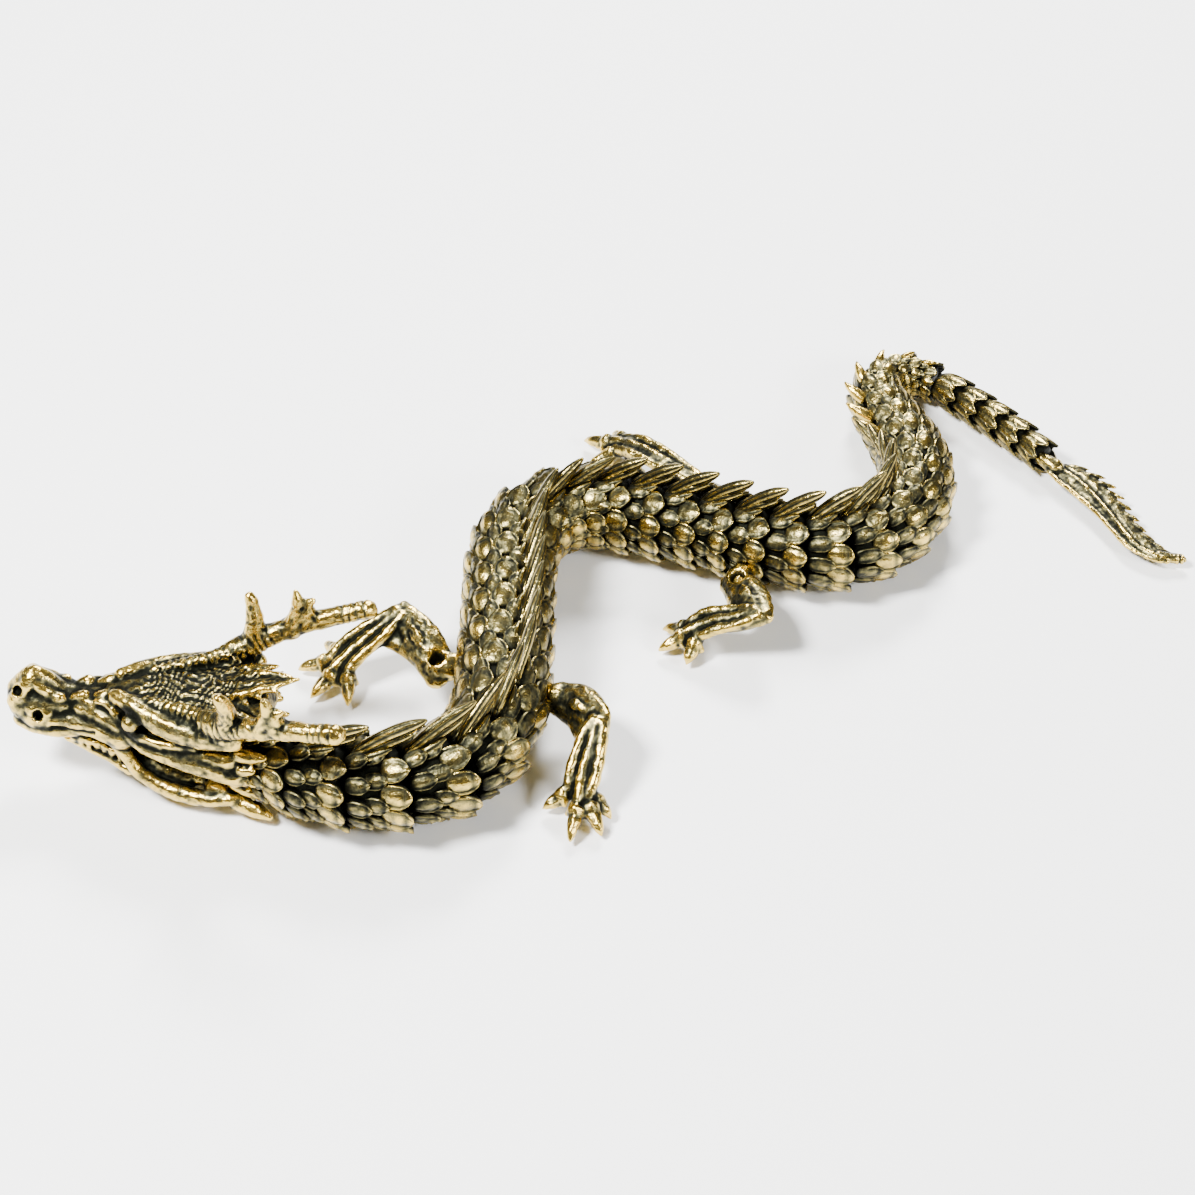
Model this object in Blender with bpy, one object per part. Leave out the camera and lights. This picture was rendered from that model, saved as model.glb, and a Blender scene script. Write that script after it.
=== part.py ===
"""Cast brass dragon made of small castings hooked in a chain, lying in a long double bend."""
import math

import bmesh
import bpy
from mathutils import Matrix, Vector

# Units: every size below is in millimetres, every angle in degrees
METRES_PER_MM = 0.001

# Clearance that every casting keeps to its neighbour
GAP = 0.3

# Where the middle of the whole pose lies in the route's own frame
POSE_CENTRE = (4.5, 8.8, -0.6)

# Route of the body from the neck to the tail links, as seen from above
# Each row: x, y, radius over the scale tips, pitch of the segments, lean to the right, crest height
BODY_ROUTE = (
    (-59.8, -41.6, 8.0, 9.2, 0.0, 4.6),
    (-51.5, -46.4, 9.0, 9.2, 0.0, 5.4),
    (-43.0, -48.9, 9.3, 9.2, 0.0, 5.6),
    (-34.3, -48.9, 9.3, 9.1, 0.0, 5.6),
    (-27.4, -47.0, 9.3, 8.8, 4.0, 5.6),
    (-22.0, -42.6, 9.1, 8.4, 10.0, 5.4),
    (-18.6, -35.6, 9.1, 8.0, 18.0, 5.4),
    (-17.1, -26.7, 9.1, 7.6, 26.0, 5.2),
    (-16.4, -5.2, 9.0, 6.9, 30.0, 5.0),
    (-16.4, 4.4, 9.0, 6.9, 26.0, 5.0),
    (-15.3, 13.4, 8.8, 6.9, 18.0, 5.0),
    (-12.2, 20.2, 8.7, 6.9, 13.0, 5.0),
    (-6.4, 24.6, 8.6, 6.9, 8.0, 5.0),
    (1.2, 25.4, 8.6, 6.8, 0.0, 5.2),
    (19.5, 19.8, 8.6, 6.8, 0.0, 5.6),
    (28.8, 16.2, 8.6, 6.8, 0.0, 5.8),
    (38.1, 13.6, 8.6, 6.8, -5.0, 5.6),
    (46.6, 13.8, 8.5, 6.7, -12.0, 5.2),
    (54.7, 18.8, 8.3, 6.6, -24.0, 5.0),
    (60.2, 27.6, 7.9, 6.4, -42.0, 4.6),
    (61.6, 38.2, 7.4, 6.1, -58.0, 4.2),
    (59.7, 48.0, 6.7, 5.8, -62.0, 4.0),
    (56.7, 57.2, 6.1, 5.3, -54.0, 2.8),
    (56.0, 64.5, 5.4, 4.9, -40.0, 1.7),
    (58.9, 69.8, 4.7, 4.4, -24.0, 1.0),
    (64.0, 71.4, 4.2, 4.1, -10.0, 0.7),
    (68.9, 69.0, 3.9, 4.0, 0.0, 0.6),
)

# Route of the small links that end the tail, in the same columns
LINK_ROUTE = (
    (69.0, 68.4, 4.0, 5.7, 0.0, 0.4),
    (74.8, 62.5, 3.9, 5.7, 0.0, 0.4),
    (79.5, 57.2, 3.8, 5.7, 0.0, 0.4),
    (83.5, 52.6, 3.6, 5.7, 0.0, 0.4),
    (88.4, 45.8, 3.4, 5.7, 0.0, 0.4),
)
LINK_COUNT = 5

# Ring of scales on a segment: lengths are shares of its pitch, radii shares of its radius
SCALE_FOLDS = 11
LINK_FOLDS = 5
NOSE_AT = 0.045
NOSE_RADIUS = 0.25
SMALL_SCALE_AT = 0.45
SMALL_SCALE_RADIUS = 0.80
SMALL_VALLEY_AT = 0.36
SMALL_VALLEY_RADIUS = 0.62
LARGE_SCALE_AT = 0.80
LARGE_SCALE_RADIUS = 0.92
LARGE_VALLEY_AT = 0.64
LARGE_VALLEY_RADIUS = 0.71
TIP_REACH = 1.27
NOTCH_AT = 1.0
NOTCH_RADIUS = 0.87
REAR_AT = 0.86
REAR_RADIUS = 0.56

# Room between a scale's tip and the flank of the next segment, on the inside of a bend
TIP_MARGIN = 1.0

# Leaf of the back crest on each segment: its back rises by a share of the crest's own height
CREST_BACK_SHARE = 0.5
CREST_TIP_REACH = 1.62

# Stud on a body segment, and the cup of the leg that turns on it
STUD_RADIUS = 1.2
STUD_SIDES = 6
CUP_RADIUS = 2.7
CUP_SIDES = 6

# Legs: cup direction is taken from the body, the rest are points of the pose
# Each leg: shoulder or hip, elbow or knee, wrist or ankle, tips of the claws
LEG_POSES = {
    "front_leg_left": (
        (-9.0, -30.2, 8.2),
        (-0.4, -34.9, 11.4),
        (-3.4, -45.4, 4.6),
        ((-9.6, -47.2, 0.3), (-4.8, -55.2, 0.3), (0.6, -53.6, 0.3), (2.4, -49.6, 0.3)),
    ),
    "front_leg_right": (
        (-26.4, -16.6, 7.4),
        (-35.4, -7.6, 11.0),
        (-45.6, -12.4, 4.6),
        ((-54.9, -11.6, 0.3), (-52.2, -19.2, 0.3), (-45.3, -21.3, 0.3), (-50.4, -4.8, 0.3)),
    ),
    "hind_leg_left": (
        (22.8, 8.0, 7.0),
        (30.2, -6.4, 9.3),
        (19.2, -4.3, 4.6),
        ((12.2, -0.8, 0.3), (11.4, -6.4, 0.3), (16.4, -10.2, 0.3), (19.2, 2.4, 0.3)),
    ),
    "hind_leg_right": (
        (29.0, 25.0, 5.0),
        (19.8, 34.4, 6.0),
        (6.4, 48.6, 4.4),
        ((3.2, 57.0, 0.3), (-2.7, 54.9, 0.3), (-1.6, 47.2, 0.3), (7.4, 41.4, 0.3)),
    ),
}
THIGH_RADIUS = 3.4
THIGH_MIDDLE_AT = 0.55
KNEE_RADIUS = 3.0
KNEE_POINT_SHARE = 0.5
SHIN_RADIUS = 3.2
SHIN_MIDDLE_AT = 0.35
WRIST_RADIUS = 2.6
ROOT_SHARE = 0.9
CUP_DEPTH = 1.2
BORE_DEPTH = 0.6
BORE_MOUTH = 2.0
TOE_ROOT_DEPTH = 0.9
KNUCKLE_AT = 0.5
KNUCKLE_RADIUS = 1.8
KNUCKLE_HEIGHT = 2.7
CLAW_AT = 0.7
CLAW_RADIUS = 1.4
CLAW_HEIGHT = 1.75
CLAW_TIP_RADIUS = 0.35
CLAW_TIP_HEIGHT = 0.4
TOE_SIDES = 4
LIMB_SIDES = 6

# Head: place of its middle at the back of the skull, and how it is turned
HEAD_AT = (-62.1, -38.0, 11.0)
HEAD_YAW = 7.0

# Ovals of the head: distance to the nose, half width, half height, middle height
SKULL_ROWS = (
    (-1.5, 5.6, 6.2, 0.6),
    (3.0, 8.8, 8.2, 1.8),
    (11.0, 8.6, 7.8, 1.6),
    (18.0, 6.8, 6.0, 2.0),
    (24.0, 5.0, 4.8, 1.4),
    (31.0, 4.6, 3.9, 2.0),
    (36.4, 5.4, 4.2, 3.4),
    (39.8, 4.6, 3.6, 3.2),
    (41.8, 2.4, 2.0, 3.0),
)
JAW_ROWS = (
    (0.5, 7.0, 2.8, -7.0),
    (5.0, 10.9, 3.5, -7.4),
    (11.0, 10.9, 3.4, -7.4),
    (17.5, 8.8, 3.0, -5.8),
    (25.0, 5.7, 2.5, -3.9),
    (31.0, 4.3, 2.0, -2.4),
    (34.5, 2.2, 1.0, -1.8),
)
SKULL_SIDES = 10
JAW_SIDES = 8

# Forms on both sides of the head, given for its left side: distance, side, height, radius
CHEEK_FOLD = ((19.0, 5.6, -0.8, 1.3), (12.0, 8.6, -1.6, 2.2), (5.0, 10.0, -2.0, 2.4), (-2.4, 10.7, -1.4, 1.7))
BROW = ((22.0, 2.8, 7.4, 1.5), (17.0, 5.8, 8.0, 2.1), (10.0, 8.4, 7.2, 2.5), (-0.6, 9.8, 5.8, 2.0))
HORN = (
    (8.0, 6.4, 8.6, 2.8),
    (0.8, 10.3, 10.8, 2.9),
    (-8.2, 13.2, 14.0, 2.6),
    (-15.0, 14.9, 15.6, 2.4),
    (-21.5, 16.0, 16.8, 2.3),
)
FRONT_TINE = ((-0.2, 10.6, 11.0, 2.2), (-0.6, 11.9, 15.6, 1.9), (-0.8, 13.0, 20.2, 1.1))
BACK_TINE = ((-8.2, 13.2, 14.0, 2.4), (-9.4, 13.7, 17.8, 2.2), (-10.0, 14.5, 21.0, 1.9))
LIP = ((40.0, 2.8, 0.8, 1.4), (36.0, 4.6, 0.2, 1.4), (31.0, 4.9, -0.5, 1.2), (25.0, 5.0, -2.2, 1.0))
UPPER_LOCK = ((6.0, 3.4, 6.0, 2.8), (-1.0, 4.6, 8.4, 2.0), (-7.4, 5.4, 10.8, 0.5))
LOWER_LOCK = ((4.0, 5.6, 3.0, 2.8), (-1.0, 7.4, 4.6, 1.9), (-4.6, 8.4, 6.0, 0.5))
JAW_SPIKE = ((4.0, 7.8, -7.0, 2.4), (-4.6, 11.4, -9.6, 0.9))
FINE_SIDES = 5

# Forms in the middle of the head
NOSE_KNOB = ((33.0, 0.0, 5.4, 2.0), (36.0, 0.0, 8.2, 3.2), (39.2, 0.0, 7.2, 1.9))
MANE = ((7.0, 0.0, 6.0, 3.4), (-2.0, 0.0, 9.6, 2.4), (-10.6, 0.0, 13.4, 0.5))
MANE_FLATNESS = 0.6

# Leaf at the end of the tail: x, y, middle height, half width
LEAF_ROUTE = (
    (89.2, 44.6, 2.4, 1.9),
    (91.8, 43.0, 2.2, 3.7),
    (95.0, 39.7, 2.2, 4.5),
    (98.1, 34.6, 2.0, 4.0),
    (100.8, 28.6, 1.9, 3.4),
    (103.4, 22.8, 1.8, 3.0),
    (107.0, 19.2, 1.5, 1.8),
    (110.2, 18.4, 1.3, 1.0),
    (112.8, 18.3, 1.3, 0.9),
)
LEAF_HALF_THICKNESS = 1.0
LEAF_NOTCH = 0.76
LEAF_NOTCH_FROM = 1.0
LEAF_SHOULDER_AT = 0.35
LEAF_SHOULDER_SHARE = 0.7
LEAF_BELLY_SHARE = 0.8

# A bar whose direction has less than this across the upright takes its sides from x
UPRIGHT_LIMIT = 0.2

# Faces that meet flatter than this, in radians, are one face
FLAT_ANGLE = 0.01

BRASS_COLOUR = (0.36, 0.25, 0.09, 1.0)
BRASS_ROUGHNESS = 0.38

# Faces that meet more sharply than this keep a crisp edge when the casting is shaded
CRISP_EDGE = 32.0

# Steps between the rows of a route while its joints are found
ROUTE_STEPS = 40


def clear_scene():
    """Remove every object that the scene starts with."""
    for item in list(bpy.data.objects):
        bpy.data.objects.remove(item, do_unlink=True)


def brass(name):
    """Return a new antique brass material for one casting."""
    material = bpy.data.materials.new(name + "_brass")
    material.use_nodes = True
    shader = material.node_tree.nodes["Principled BSDF"]
    shader.inputs["Base Color"].default_value = BRASS_COLOUR
    shader.inputs["Metallic"].default_value = 1.0
    shader.inputs["Roughness"].default_value = BRASS_ROUGHNESS
    return material


def catmull_rom(before, start, end, after, share):
    """Return the value at a share of the way from start to end on a smooth curve."""
    slope_in = (end - before) / 2
    slope_out = (after - start) / 2
    square = share * share
    cube = square * share
    return (
        (2 * cube - 3 * square + 1) * start
        + (cube - 2 * square + share) * slope_in
        + (3 * square - 2 * cube) * end
        + (cube - square) * slope_out
    )


def smooth_rows(rows, steps):
    """Return the rows with smooth steps put between each two of them."""
    padded = [rows[0]] + list(rows) + [rows[-1]]
    fine = []
    for before, start, end, after in zip(padded, padded[1:], padded[2:], padded[3:]):
        for step in range(steps):
            columns = zip(before, start, end, after)
            fine.append(tuple(catmull_rom(*values, step / steps) for values in columns))
    fine.append(tuple(rows[-1]))
    return fine


def joints_along(rows):
    """Return one row for each joint, a pitch apart along the route."""
    fine = smooth_rows(rows, ROUTE_STEPS)
    joints = [fine[0]]
    travelled = 0.0
    for last, row in zip(fine, fine[1:]):
        travelled += math.dist(last[:2], row[:2])
        if travelled >= joints[-1][3]:
            joints.append(row)
            travelled = 0.0
    return joints


def joint_frames(joints):
    """Return the frame of each segment: x to the tail, z to the crest, origin on its joint."""
    places = [Vector((row[0], row[1], row[2])) for row in joints]
    frames = []
    for index, row in enumerate(joints[:-1]):
        along = (places[index + 1] - places[index]).normalized()
        left = Vector((0, 0, 1)).cross(along).normalized()
        turn = Matrix.Rotation(math.radians(row[4]), 4, along)
        up = turn @ along.cross(left)
        left = up.cross(along)
        frame = Matrix((along, left, up)).transposed().to_4x4()
        frame.translation = places[index]
        frames.append(frame)
    return frames


def around(share, folds, distance, radius):
    """Return a point beside a segment's axis; share counts half folds from the crest."""
    angle = math.pi * share / folds
    return Vector((distance, radius * math.sin(angle), radius * math.cos(angle)))


def fan_between(surface, few, many, flip):
    """Join a ring to one with twice as many points."""
    folds = len(few)
    for index in range(folds):
        near = few[index]
        far = few[(index + 1) % folds]
        first, middle, last = (many[(2 * index + step) % len(many)] for step in range(3))
        for corners in ((near, first, middle), (near, middle, far), (far, middle, last)):
            surface.faces.new(reversed(corners) if flip else corners)


def tip_limit(next_flank, share, folds, reach):
    """Return how far a scale may reach before it meets the next segment's flank."""
    if next_flank is None:
        return reach
    frame, pitch, radius = next_flank
    large = share % 2 == 0
    flank_at = LARGE_VALLEY_AT if large else SMALL_SCALE_AT
    flank_radius = LARGE_SCALE_RADIUS if large else SMALL_SCALE_RADIUS
    flank = frame @ around(share, folds, flank_at * pitch, flank_radius * radius)
    return min(reach, flank.x - TIP_MARGIN)


def scale_ring(folds, radius, pitch, crest, next_flank):
    """Return one segment: a collar of small and large pointed scales with a crest leaf."""
    surface = bmesh.new()
    count = 2 * folds
    nose = []
    small_ring = []
    large_ring = []
    tip_ring = []
    rear = []
    for share in range(count):
        large = share % 2 == 0
        small_radius = SMALL_VALLEY_RADIUS if large else SMALL_SCALE_RADIUS
        large_radius = LARGE_SCALE_RADIUS if large else LARGE_VALLEY_RADIUS
        large_at = LARGE_SCALE_AT if large else LARGE_VALLEY_AT
        tip_radius = 1.0 if large else NOTCH_RADIUS
        small_at = SMALL_VALLEY_AT if large else SMALL_SCALE_AT
        tip_at = tip_limit(next_flank, share, folds, (TIP_REACH if large else NOTCH_AT) * pitch)
        if share == 0 and crest > 0:
            small_radius = SMALL_SCALE_RADIUS
            large_radius = 1.0 + CREST_BACK_SHARE * crest / radius
            tip_radius = 1.0 + crest / radius
            tip_at = CREST_TIP_REACH * pitch
        small_ring.append(surface.verts.new(around(share, folds, small_at * pitch, small_radius * radius)))
        large_ring.append(surface.verts.new(around(share, folds, large_at * pitch, large_radius * radius)))
        tip_ring.append(surface.verts.new(around(share, folds, tip_at, tip_radius * radius)))
        if large:
            nose.append(surface.verts.new(around(share, folds, NOSE_AT * pitch, NOSE_RADIUS * radius)))
        else:
            rear.append(surface.verts.new(around(share, folds, REAR_AT * pitch, REAR_RADIUS * radius)))
    fan_between(surface, nose, small_ring, False)
    for inner, outer in ((small_ring, large_ring), (large_ring, tip_ring)):
        for index in range(count):
            after = (index + 1) % count
            surface.faces.new((inner[index], outer[index], outer[after], inner[after]))
    fan_between(surface, rear, tip_ring[1:] + tip_ring[:1], True)
    surface.faces.new(nose)
    surface.faces.new(reversed(rear))
    bmesh.ops.recalc_face_normals(surface, faces=surface.faces)
    bmesh.ops.triangulate(surface, faces=surface.faces)
    return surface


def loft(rings):
    """Return a closed shape through rings of points that all have the same count."""
    surface = bmesh.new()
    loops = [[surface.verts.new(point) for point in ring] for ring in rings]
    for inner, outer in zip(loops, loops[1:]):
        for index in range(len(inner)):
            after = (index + 1) % len(inner)
            surface.faces.new((inner[index], outer[index], outer[after], inner[after]))
    surface.faces.new(loops[0])
    surface.faces.new(reversed(loops[-1]))
    bmesh.ops.recalc_face_normals(surface, faces=surface.faces)
    bmesh.ops.triangulate(surface, faces=surface.faces)
    return surface


def limb(rows, sides=LIMB_SIDES, flatness=1.0):
    """Return a tapered round bar through the rows, each x, y, z and radius."""
    spots = [Vector(row[:3]) for row in rows]
    rings = []
    for index, spot in enumerate(spots):
        radius = rows[index][3]
        before = spots[max(index - 1, 0)]
        after = spots[min(index + 1, len(spots) - 1)]
        along = (after - before).normalized()
        side = along.cross(Vector((0, 0, 1)))
        if side.length < UPRIGHT_LIMIT:
            side = along.cross(Vector((1, 0, 0)))
        side.normalize()
        up = side.cross(along)
        ring = []
        for step in range(sides):
            angle = 2 * math.pi * (step + 0.5) / sides
            ring.append(spot + side * radius * math.cos(angle) + up * radius * flatness * math.sin(angle))
        rings.append(ring)
    return loft(rings)


def rod(start, end, radius, sides):
    """Return a straight bar between two points."""
    return limb(((*start, radius), (*end, radius)), sides)


def hidden_object(name, surface):
    """Return a working object that holds a shape and isn't part of the model."""
    mesh = bpy.data.meshes.new(name)
    surface.to_mesh(mesh)
    surface.free()
    item = bpy.data.objects.new(name, mesh)
    bpy.context.scene.collection.objects.link(item)
    return item


def fused(shapes, holes=()):
    """Return the exact union of closed shapes, less the holes, as one shape."""
    items = [hidden_object("working", shape) for shape in list(shapes) + list(holes)]
    base = items[0]
    for index, other in enumerate(items[1:], start=1):
        cut = base.modifiers.new("join", "BOOLEAN")
        cut.object = other
        cut.operation = "UNION" if index < len(shapes) else "DIFFERENCE"
        cut.solver = "EXACT"
    depsgraph = bpy.context.evaluated_depsgraph_get()
    mesh = base.evaluated_get(depsgraph).to_mesh()
    surface = bmesh.new()
    surface.from_mesh(mesh)
    for item in items:
        bpy.data.objects.remove(item, do_unlink=True)
    bmesh.ops.dissolve_limit(surface, angle_limit=FLAT_ANGLE, verts=surface.verts, edges=surface.edges)
    bmesh.ops.triangulate(surface, faces=surface.faces)
    return surface


def casting(name, surface, frame=None):
    """Make one named piece of the dragon from a shape in millimetres."""
    mesh = bpy.data.meshes.new(name)
    surface.to_mesh(mesh)
    surface.free()
    mesh.transform(Matrix.Scale(METRES_PER_MM, 4))
    mesh.materials.append(brass(name))
    mesh.shade_smooth()
    mesh.set_sharp_from_angle(angle=math.radians(CRISP_EDGE))
    item = bpy.data.objects.new(name, mesh)
    bpy.context.scene.collection.objects.link(item)
    place = frame.copy() if frame else Matrix.Identity(4)
    place.translation = (place.translation - Vector(POSE_CENTRE)) * METRES_PER_MM
    item.matrix_world = place
    return item


def nearest_segment(frames, joints, point):
    """Return the index of the body segment whose middle is nearest to a point."""
    spot = Vector(point)
    middles = [frame @ Vector((row[3] / 2, 0, 0)) for frame, row in zip(frames, joints)]
    return min(range(len(middles)), key=lambda index: (middles[index] - spot).length)


def leg_mounting(frames, joints, shoulder):
    """Return a leg's segment, the middle of that segment, and where the leg's cup is centred."""
    index = nearest_segment(frames, joints, shoulder)
    middle = frames[index] @ Vector((joints[index][3] * LARGE_VALLEY_AT, 0, 0))
    outward = Vector(shoulder) - middle
    along = frames[index].to_3x3() @ Vector((1, 0, 0))
    outward -= along * outward.dot(along)
    outward.normalize()
    cup = middle + outward * (joints[index][2] + GAP + CUP_RADIUS)
    return index, middle, cup


def toe(wrist, tip):
    """Return one toe with its knuckle and its pointed claw."""
    reach = tip - wrist
    start = wrist - reach.normalized() * TOE_ROOT_DEPTH
    knuckle = wrist + reach * KNUCKLE_AT
    root = wrist + reach * CLAW_AT
    return limb((
        (*start, KNUCKLE_RADIUS),
        (knuckle.x, knuckle.y, KNUCKLE_HEIGHT, KNUCKLE_RADIUS),
        (root.x, root.y, CLAW_HEIGHT, CLAW_RADIUS),
        (tip.x, tip.y, CLAW_TIP_HEIGHT, CLAW_TIP_RADIUS),
    ), TOE_SIDES)


def leg(pose, middle, cup):
    """Return one leg: cup on its stud, upper part, lower part, foot, toes and claws."""
    elbow, wrist = (Vector(point) for point in pose[1:3])
    outward = (cup - middle).normalized()
    bend = elbow + (elbow - (cup + wrist) / 2).normalized() * KNEE_RADIUS * KNEE_POINT_SHARE
    thigh = limb((
        (*cup, CUP_RADIUS * ROOT_SHARE),
        (*cup.lerp(elbow, THIGH_MIDDLE_AT), THIGH_RADIUS),
        (*bend, KNEE_RADIUS),
    ))
    shin = limb((
        (*bend, KNEE_RADIUS * ROOT_SHARE),
        (*elbow.lerp(wrist, SHIN_MIDDLE_AT), SHIN_RADIUS),
        (*wrist, WRIST_RADIUS),
    ))
    collar = rod(cup - outward * CUP_RADIUS, cup + outward * CUP_DEPTH, CUP_RADIUS, CUP_SIDES)
    toes = [toe(wrist, Vector(tip)) for tip in pose[3]]
    bore_start = cup - outward * (CUP_RADIUS + BORE_MOUTH)
    bore = rod(bore_start, cup + outward * BORE_DEPTH, STUD_RADIUS + GAP, STUD_SIDES)
    return fused([thigh, shin, collar] + toes, [bore])


def leg_stud(frame, middle, cup):
    """Return the stud that a leg's cup sits on, in its segment's own frame."""
    inverse = frame.inverted()
    outward = (cup - middle).normalized()
    end = cup + outward * (BORE_DEPTH - GAP)
    return rod(inverse @ middle, inverse @ end, STUD_RADIUS, STUD_SIDES)


def body(frames, joints, studs):
    """Make the row of body segments, with studs on those that carry a leg."""
    for index, frame in enumerate(frames):
        row = joints[index]
        pitch = math.dist(joints[index][:2], joints[index + 1][:2])
        next_flank = None
        if index + 1 < len(frames):
            follower = joints[index + 1]
            next_flank = (frame.inverted() @ frames[index + 1], follower[3], follower[2])
        surface = scale_ring(SCALE_FOLDS, row[2], pitch, row[5], next_flank)
        if index in studs:
            surface = fused([surface] + studs[index])
        casting(f"body_segment_{index + 1:02d}", surface, frame)


def tail_links():
    """Make the five small links between the body and the tail leaf."""
    joints = joints_along(LINK_ROUTE)
    frames = joint_frames(joints)[:LINK_COUNT]
    for index, frame in enumerate(frames):
        pitch = math.dist(joints[index][:2], joints[index + 1][:2])
        surface = scale_ring(LINK_FOLDS, joints[index][2], pitch, joints[index][5], None)
        casting(f"tail_link_{index + 1}", surface, frame)


def tail_leaf():
    """Make the long curved leaf that ends the tail, with notched edges."""
    rows = smooth_rows(LEAF_ROUTE, 2)
    rings = []
    for index, row in enumerate(rows):
        before = rows[max(index - 1, 0)]
        after = rows[min(index + 1, len(rows) - 1)]
        along = Vector((after[0] - before[0], after[1] - before[1], 0)).normalized()
        side = Vector((-along.y, along.x, 0))
        notched = index % 2 == 1
        half = row[3] * (LEAF_NOTCH if notched and row[3] > LEAF_NOTCH_FROM else 1.0)
        spot = Vector(row[:3])
        up = Vector((0, 0, LEAF_HALF_THICKNESS))
        shoulder = side * half * LEAF_SHOULDER_AT
        rings.append([
            spot + side * half,
            spot + shoulder + up * LEAF_SHOULDER_SHARE,
            spot + up,
            spot - shoulder + up * LEAF_SHOULDER_SHARE,
            spot - side * half,
            spot - up * LEAF_BELLY_SHARE,
        ])
    casting("tail_leaf", loft(rings))


def head_frame():
    """Return the head's frame: x to the nose, y to its left side, z up."""
    return Matrix.Translation(Vector(HEAD_AT)) @ Matrix.Rotation(math.radians(180 - HEAD_YAW), 4, "Z")


def oval_loft(rows, sides):
    """Return a shape through upright ovals: distance, half width, half height, middle height."""
    loops = []
    for distance, half_width, half_height, height in rows:
        loop = []
        for step in range(sides):
            angle = 2 * math.pi * (step + 0.5) / sides
            loop.append(Vector((
                distance,
                half_width * math.cos(angle),
                height + half_height * math.sin(angle),
            )))
        loops.append(loop)
    return loft(loops)


def pair(rows, sides=LIMB_SIDES):
    """Return one bar for each side of the head."""
    mirrored = [(x, -y, z, radius) for x, y, z, radius in rows]
    return [limb(rows, sides), limb(mirrored, sides)]


def head():
    """Make the head as one casting with its jaws, brows, horns, cheek folds and mane."""
    shapes = [oval_loft(SKULL_ROWS, SKULL_SIDES), oval_loft(JAW_ROWS, JAW_SIDES)]
    for rows in (CHEEK_FOLD, BROW, HORN, FRONT_TINE, BACK_TINE):
        shapes += pair(rows)
    shapes.append(limb(NOSE_KNOB))
    shapes += pair(LIP, FINE_SIDES)
    shapes.append(limb(MANE, LIMB_SIDES, MANE_FLATNESS))
    for rows in (UPPER_LOCK, LOWER_LOCK, JAW_SPIKE):
        shapes += pair(rows, FINE_SIDES)
    casting("head", fused(shapes), head_frame())


def build():
    """Make every casting of the dragon in its place."""
    clear_scene()
    joints = joints_along(BODY_ROUTE)
    frames = joint_frames(joints)
    studs = {}
    for name, pose in LEG_POSES.items():
        index, middle, cup = leg_mounting(frames, joints, pose[0])
        studs.setdefault(index, []).append(leg_stud(frames[index], middle, cup))
        casting(name, leg(pose, middle, cup))
    body(frames, joints, studs)
    tail_links()
    tail_leaf()
    head()


build()
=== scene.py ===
"""Studio scene of an antique brass dragon made of small castings hooked in a chain."""
import itertools
import logging
import math
import random
from dataclasses import dataclass, field
from enum import Enum
from typing import Iterable, Sequence

import bmesh
import bpy
import numpy as np
from mathutils import Matrix, Vector
from mathutils.bvhtree import BVHTree


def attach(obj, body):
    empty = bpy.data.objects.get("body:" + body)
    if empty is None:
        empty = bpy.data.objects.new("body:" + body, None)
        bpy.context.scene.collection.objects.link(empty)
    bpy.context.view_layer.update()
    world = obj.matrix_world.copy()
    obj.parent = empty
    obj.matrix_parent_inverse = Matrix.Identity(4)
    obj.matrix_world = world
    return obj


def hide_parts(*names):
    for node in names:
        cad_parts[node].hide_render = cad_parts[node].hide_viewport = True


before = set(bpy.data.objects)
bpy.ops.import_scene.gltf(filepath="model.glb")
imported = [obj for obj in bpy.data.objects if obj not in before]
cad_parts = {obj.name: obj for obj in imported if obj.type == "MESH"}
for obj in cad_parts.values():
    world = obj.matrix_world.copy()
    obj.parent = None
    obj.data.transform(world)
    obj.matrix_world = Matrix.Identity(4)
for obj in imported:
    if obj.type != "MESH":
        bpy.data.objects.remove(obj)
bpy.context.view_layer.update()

# Units: every size below is in millimetres and every angle in degrees, unless a name says otherwise
METRES_PER_MM = 0.001
POSE_CENTRE = Vector((4.5, 8.8, -0.6))
GAP = 0.3
UP = Vector((0.0, 0.0, 1.0))
SHINE = "shine"
LOG = logging.getLogger("brass dragon")

# Short names of types
Row = tuple[float, ...]
Shape = bmesh.types.BMesh
Socket = bpy.types.NodeSocket

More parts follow.
